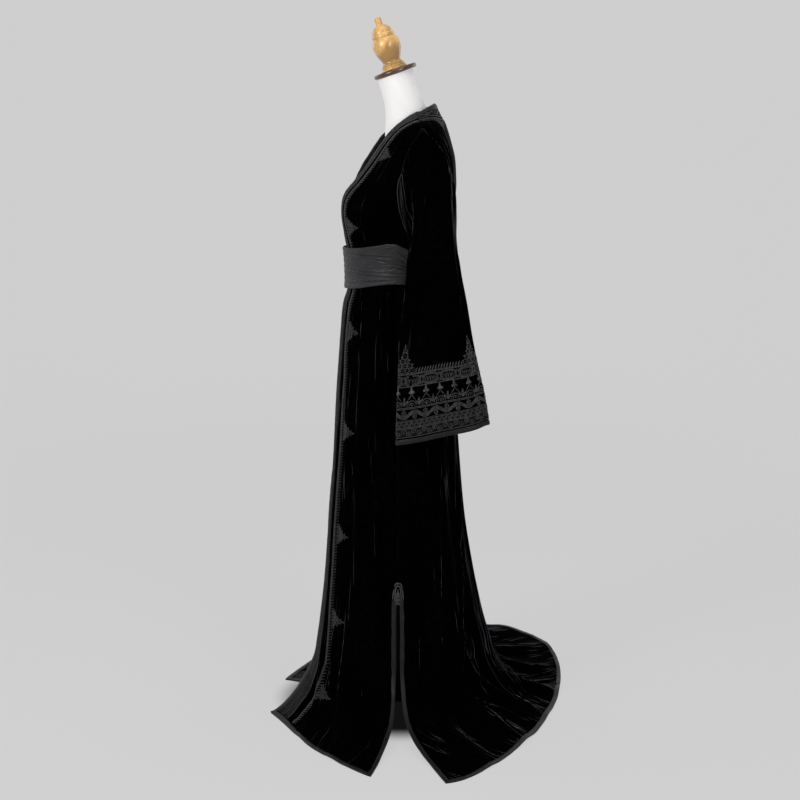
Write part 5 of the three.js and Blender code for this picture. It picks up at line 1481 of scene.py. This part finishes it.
# each wrinkle: angle and place down the sash along its line, depth, half width in mm
WRINKLES = [
    ([(14, .10), (34, .16), (58, .28), (76, .38), (92, .50)], 2.2, 3.4), ([(30, .20), (48, .30), (66, .43), (80, .55)], 1.6, 3.0),
    ([(4, .27), (22, .30), (40, .36)], 1.2, 2.6), ([(20, .60), (42, .68), (62, .78), (84, .86)], 2.0, 3.2),
    ([(6, .52), (26, .55), (50, .64), (70, .73)], 1.6, 3.0), ([(34, .82), (56, .88), (82, .93)], 1.6, 2.8),
    ([(8, .86), (30, .90), (52, .95)], 1.2, 2.4), ([(3, .74), (16, .76), (30, .81)], 1.2, 2.6),
    ([(44, .14), (60, .07), (73, .05)], 1.6, 3.2), ([(40, .40), (56, .50), (74, .49)], 1.2, 2.6),
    ([(52, .60), (66, .53), (80, .50)], 1.3, 2.8), ([(70, .30), (80, .36), (94, .40)], 2.2, 3.0), ([(74, .43), (84, .47), (96, .49)], 2.0, 2.8),
    ([(72, .64), (82, .58), (94, .56)], 2.0, 3.0), ([(76, .74), (86, .70), (98, .66)], 2.0, 3.0), ([(73, .82), (84, .81), (97, .78)], 1.8, 2.8),
    ([(76, .12), (86, .22), (98, .33)], 2.0, 3.2), ([(18, .42), (36, .46), (52, .55)], 1.1, 2.4),
    ([(104, .20), (130, .30), (160, .38)], 2.0, 3.2), ([(100, .62), (128, .58), (156, .62), (182, .70)], 2.0, 3.2), ([(110, .84), (140, .80), (170, .82)], 1.8, 3.0),
    ([(150, .14), (180, .22), (214, .20)], 2.0, 3.2), ([(168, .48), (196, .52), (228, .46)], 2.0, 3.2), ([(190, .84), (222, .78), (250, .72)], 1.8, 3.0),
    ([(232, .30), (256, .38), (280, .30)], 2.0, 3.2), ([(262, .56), (284, .48), (306, .36), (330, .24)], 2.2, 3.2), ([(264, .74), (290, .66), (318, .58), (344, .52)], 1.8, 3.0),
    ([(280, .16), (304, .10), (332, .12)], 1.6, 3.0), ([(284, .88), (312, .84), (340, .78), (358, .76)], 1.8, 3.0), ([(300, .72), (326, .70), (352, .62)], 1.4, 2.6),
]
crushed = np.zeros_like(W)
for pts, deep, half in WRINKLES:
    c = curve(pts, 40)
    best, tau = np.full(W.shape, 1e9), np.zeros(W.shape)
    for k in range(39):
        a0, b0 = c[k] * [2.35, 115], c[k + 1] * [2.35, 115]
        ax, ay = TH * 2.35 - a0[0], W * 115 - a0[1]
        bx, by = b0 - a0
        t = np.clip((ax * bx + ay * by) / max(bx * bx + by * by, 1e-9), 0, 1)
        dd = np.hypot(ax - t * bx, ay - t * by)
        m = dd < best
        best[m], tau[m] = dd[m], (k + t[m]) / 39
    x = best / half
    crushed += deep * (.5 * bump(x - 1.3, 1.2) - bump(x, 1.0)) * sm(0, .25, tau) * sm(1, .75, tau)
edge = np.minimum(W, 1 - W)
round_off = 1.6 * (1 - sm(0, .035, edge))
push_in = 7.4 + 4.5 * bump(turn, 32) - .0 * W
push_out = push_in + 2.1 + 3.4 * lap * depth + fine + .92 * crushed + .8 - round_off
P0 = np.stack([gx[..., 0], gx[..., 1], ZZ], -1)
l = np.hypot(P0[..., 0], P0[..., 1] + 20)
dirn = np.stack([P0[..., 0] / l, (P0[..., 1] + 20) / l, 0 * l], -1)
h = Heap()
turned_ = lambda G: np.roll(G, nt_ // 2, 1)                       # the joint of the cloth coordinates lies at the back
slab(h, turned_(P0 + dirn * push_in[..., None]), turned_(P0 + dirn * push_out[..., None]), True, False,
     uv=turned_(np.stack([(TH + 180) % 360 / 360 * 800, W * 115], -1)))
sash = h.make("sash_pleated", "sash_satin", "sash_satin", ["sash"], sharp=60)


# ------------------------------------------------------------------ dress form and stand
def ell(y0, y1, hx, c, a):
    """Distance from (0, c) to an ellipse along the angle a."""
    cy, hy = (y0 + y1) / 2, (y1 - y0) / 2
    dx, dy = np.cos(a) / hx, np.sin(a) / hy
    oy = (c - cy) / hy
    A, B, C = dx * dx + dy * dy, 2 * oy * dy, oy * oy - 1
    return (-B + np.sqrt(np.maximum(B * B - 4 * A * C, 0))) / (2 * A)


zz = np.r_[np.linspace(882, 1400, 44), np.linspace(1408, 1560, 34), np.linspace(1565, 1650.6, 16)]
a = np.arange(84) / 84 * 2 * np.pi
sp2 = lambda T, z: level(T, np.interp(z, T[:, 0], np.arange(len(T))))
G = np.zeros((len(zz), 84, 3))
for j, z in enumerate(zz):
    c = np.interp(z, [880, 1420, 1540, 1652], [0, 30, 30, -12])
    r = []
    if z <= 1540:
        f = sp2(FORM, np.array([z]))[0]
        r.append(ell(f[1], f[2], f[3], c, a))
    if z >= 1425:
        f = sp2(NECK, np.array([z]))[0]
        r.append(ell(f[1], f[2], f[3], c, a))
        tilt = f[4]
    else:
        tilt = 0
    if len(r) == 2:
        d = r[0] - r[1]
        R = np.maximum(r[0], r[1]) + 2.2 * np.exp(-np.abs(d) / 6.0) * sm(1425, 1450, z) * sm(1540, 1515, z)
    else:
        R = r[0]
    x, y = R * np.cos(a), c + R * np.sin(a)
    G[j] = np.stack([x, y, z + (y - (f[1] + f[2]) / 2) * math.tan(math.radians(tilt)) if z >= 1425 else np.full(84, z)], -1)
h = Heap()
ends = [G[0] * [.96, .96, 1] + [0, 0, -1.2]]
tube(h, np.concatenate([np.array(ends), G], 0), uv=np.stack([np.broadcast_to(a / (2 * np.pi) * 700, (len(zz) + 1, 84)), np.broadcast_to(np.r_[880, zz][:, None], (len(zz) + 1, 84))], -1))
h.make("form_jersey", "jersey", "jersey", ["form_torso"])


def turned(name, profile, material_name, slot_name, node_name, smoothness=5, n=64):
    P = np.array(profile, float)
    P = curve(P, len(P) * smoothness)
    P[:, 0] = np.maximum(P[:, 0], 0.02)
    w = np.arange(n) / n * 2 * np.pi
    G = np.stack([P[:, 0][:, None] * np.cos(w), P[:, 0][:, None] * np.sin(w), np.broadcast_to(P[:, 1][:, None], (len(P), n))], -1)
    c, s = math.cos(math.radians(CAP_LEAN)), math.sin(math.radians(CAP_LEAN))
    G = np.stack([G[..., 0], G[..., 1] * c - G[..., 2] * s, G[..., 1] * s + G[..., 2] * c], -1) + np.array(CAP_FOOT)
    h = Heap()
    tube(h, G)
    h.make(name, material_name, slot_name, [node_name], sharp=40)


turned("flange_turned", [[0, .05], [30, .05], [50, .1], [53.4, .5], [55.2, 2], [56, 5.3], [55.3, 8.6], [53, 10.8], [46, 11.4], [33, 11.5], [16, 11.5], [0, 11.5]], "dark_wood", "dark_wood", "form_neck_flange", 4)
turned("finial_turned", FINIAL_PROFILE, "varnished_wood", "varnished_wood", "form_finial", 4, 60)
w = np.arange(48) / 48 * 2 * np.pi
prof = [(14.6, 10.4), (16, 11.8), (16, 60), (16, 300), (16, 600), (16, 820), (16, 878), (14.6, 879.5)]
G = np.array([[[r * math.cos(x), r * math.sin(x), z] for x in w] for r, z in prof])
h = Heap()
tube(h, G)
h.make("pole_round", "iron", "iron", ["stand_pole"])
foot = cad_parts["stand_foot"]
foot.data.materials.clear()
foot.data.materials.append(MATS["iron"])
bv = foot.modifiers.new("edges", "BEVEL")
bv.width, bv.segments = .0015, 2

# ------------------------------------------------------------------ sheets: the flat size each was cut to
FLAT = {
    "left_front": ((.60, 1.80), .56, "hung", ["form_jersey"]), "right_front": ((.60, 1.80), .56, "hung", ["form_jersey"]),
    "left_back": ((.90, 1.85), .66, "hung", ["form_jersey"]), "right_back": ((1.00, 1.90), .72, "hung", ["form_jersey"]),
    "left_sleeve": ((.50, .72), .285, "hung", ["left_front_cloth"]), "right_sleeve": ((.50, .72), .285, "hung", ["right_front_cloth"]),
}
MEASURED = {}


def cloth_area(ob):
    me = ob.data
    n = len(me.polygons)
    a = np.zeros(n)
    me.polygons.foreach_get("area", a)
    return float(a.sum()) / 2


for name, (flat, area, held, rests) in FLAT.items():
    MEASURED[name] = cloth_area(CLOTH[name])
MEASURED["sash"] = cloth_area(sash)
for ob, flat, node_name, side in SHEETS:
    MEASURED[node_name] = (cloth_area(ob), flat[0] * flat[1])

# ------------------------------------------------------------------ floor, light and camera
m, nt, b = material("studio_floor")
n = tex(nt, coords(nt, uv=False), .8, 2)
c = mix(nt, n, (.115, .1145, .1145), (.117, .1165, .1165))
setv(b, Roughness=1.0, Specular_IOR_Level=0.0, Emission_Strength=.855)
# painted shadow: the floor's colour and glow are darkened in a disc under the gown, standing in for the shade of the
# cloth that hangs round it
reach = nt.nodes.new("ShaderNodeVectorMath")
reach.operation = "LENGTH"
nt.links.new(nt.nodes.new("ShaderNodeTexCoord").outputs["Object"], reach.inputs[0])
lit = nt.nodes.new("ShaderNodeMapRange")
lit.interpolation_type = "SMOOTHSTEP"
lit.inputs["From Min"].default_value, lit.inputs["From Max"].default_value = .245, .350
nt.links.new(reach.outputs["Value"], lit.inputs["Value"])
nt.links.new(mix(nt, lit.outputs["Result"], (.010, .010, .0105), c), b.inputs["Base Color"])
far = nt.nodes.new("ShaderNodeMapRange")
far.interpolation_type = "SMOOTHSTEP"
far.inputs["From Min"].default_value, far.inputs["From Max"].default_value = 1.8, 6.0
nt.links.new(reach.outputs["Value"], far.inputs["Value"])
paper = mix(nt, far.outputs["Result"], (.630, .620, .622), (.665, .654, .656))
# painted shadow again: inside the same disc the floor's glow is mixed down to near black
nt.links.new(mix(nt, lit.outputs["Result"], (.006, .006, .0065), paper), b.inputs["Emission Color"])
BEND, R0 = -4.2, 3.2
pts = [(6.0, 0.0), (BEND, 0.0)]
for k in range(1, 25):
    t = k / 24 * math.pi / 2
    pts.append((BEND - R0 * math.sin(t), R0 - R0 * math.cos(t)))
pts.append((BEND - R0, 9.0))
verts, faces = [], []
for i, (x, z) in enumerate(pts):
    verts += [(x, -9, z), (x, 9, z)]
    if i:
        faces.append((2 * i - 2, 2 * i - 1, 2 * i + 1, 2 * i))
me = bpy.data.meshes.new("studio_sweep")
me.from_pydata(verts, [], faces)
for p in me.polygons:
    p.use_smooth = True
sweep = bpy.data.objects.new("studio_sweep", me)
bpy.context.scene.collection.objects.link(sweep)
me.materials.append(MATS["studio_floor"])
sweep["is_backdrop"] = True

world = bpy.data.worlds.new("studio")
bpy.context.scene.world = world
world.use_nodes = True
bg = world.node_tree.nodes["Background"]
bg.inputs["Color"].default_value = (.96, .98, 1.0, 1)
bg.inputs["Strength"].default_value = .36


def area(name, where, aim, size, power, colour=(1, 1, 1)):
    d = bpy.data.lights.new(name, "AREA")
    d.shape, d.size, d.size_y, d.energy, d.color = "RECTANGLE", size[0], size[1], power, colour
    o = bpy.data.objects.new(name, d)
    bpy.context.scene.collection.objects.link(o)
    o.location = where
    v = [aim[k] - where[k] for k in range(3)]
    o.rotation_euler = (math.acos(-v[2] / math.sqrt(sum(x * x for x in v))), 0, math.atan2(v[1], v[0]) - math.pi / 2)
    o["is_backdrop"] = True
    return o


area("key", (3.1, -2.75, 2.5), (0, 0, 1.1), (1.2, 2.2), 82)
area("fill", (3.7, 2.0, 2.4), (0, 0, 1.1), (1.2, 2.2), 48)
area("top", (.4, 0, 4.0), (0, 0, .6), (2.4, 2.4), 26)
area("back_left", (-2.6, -3.2, 2.3), (0, 0, 1.0), (1.6, 2.2), 12)
area("back_right", (-2.6, 3.2, 2.3), (0, 0, 1.0), (1.6, 2.2), 12)

cam = bpy.data.cameras.new("camera")
cam.sensor_width, cam.lens = 36.0, 78.39
cam.dof.use_dof = False
cam_o = bpy.data.objects.new("camera", cam)
bpy.context.scene.collection.objects.link(cam_o)
cam_o.location = (4.5, 0.0, 1.586)
cam_o.rotation_euler = (math.radians(80.229), 0.0, math.radians(90))
bpy.context.scene.camera = cam_o
bpy.context.scene.view_settings.view_transform = "Standard"

for k, v in MEASURED.items():
    print("area", k, v)
total = 0
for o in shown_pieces():
    n = sum(len(p.vertices) - 2 for p in o.data.polygons)
    total += n
    print("triangles", o.name, n)
print("triangles total", total)
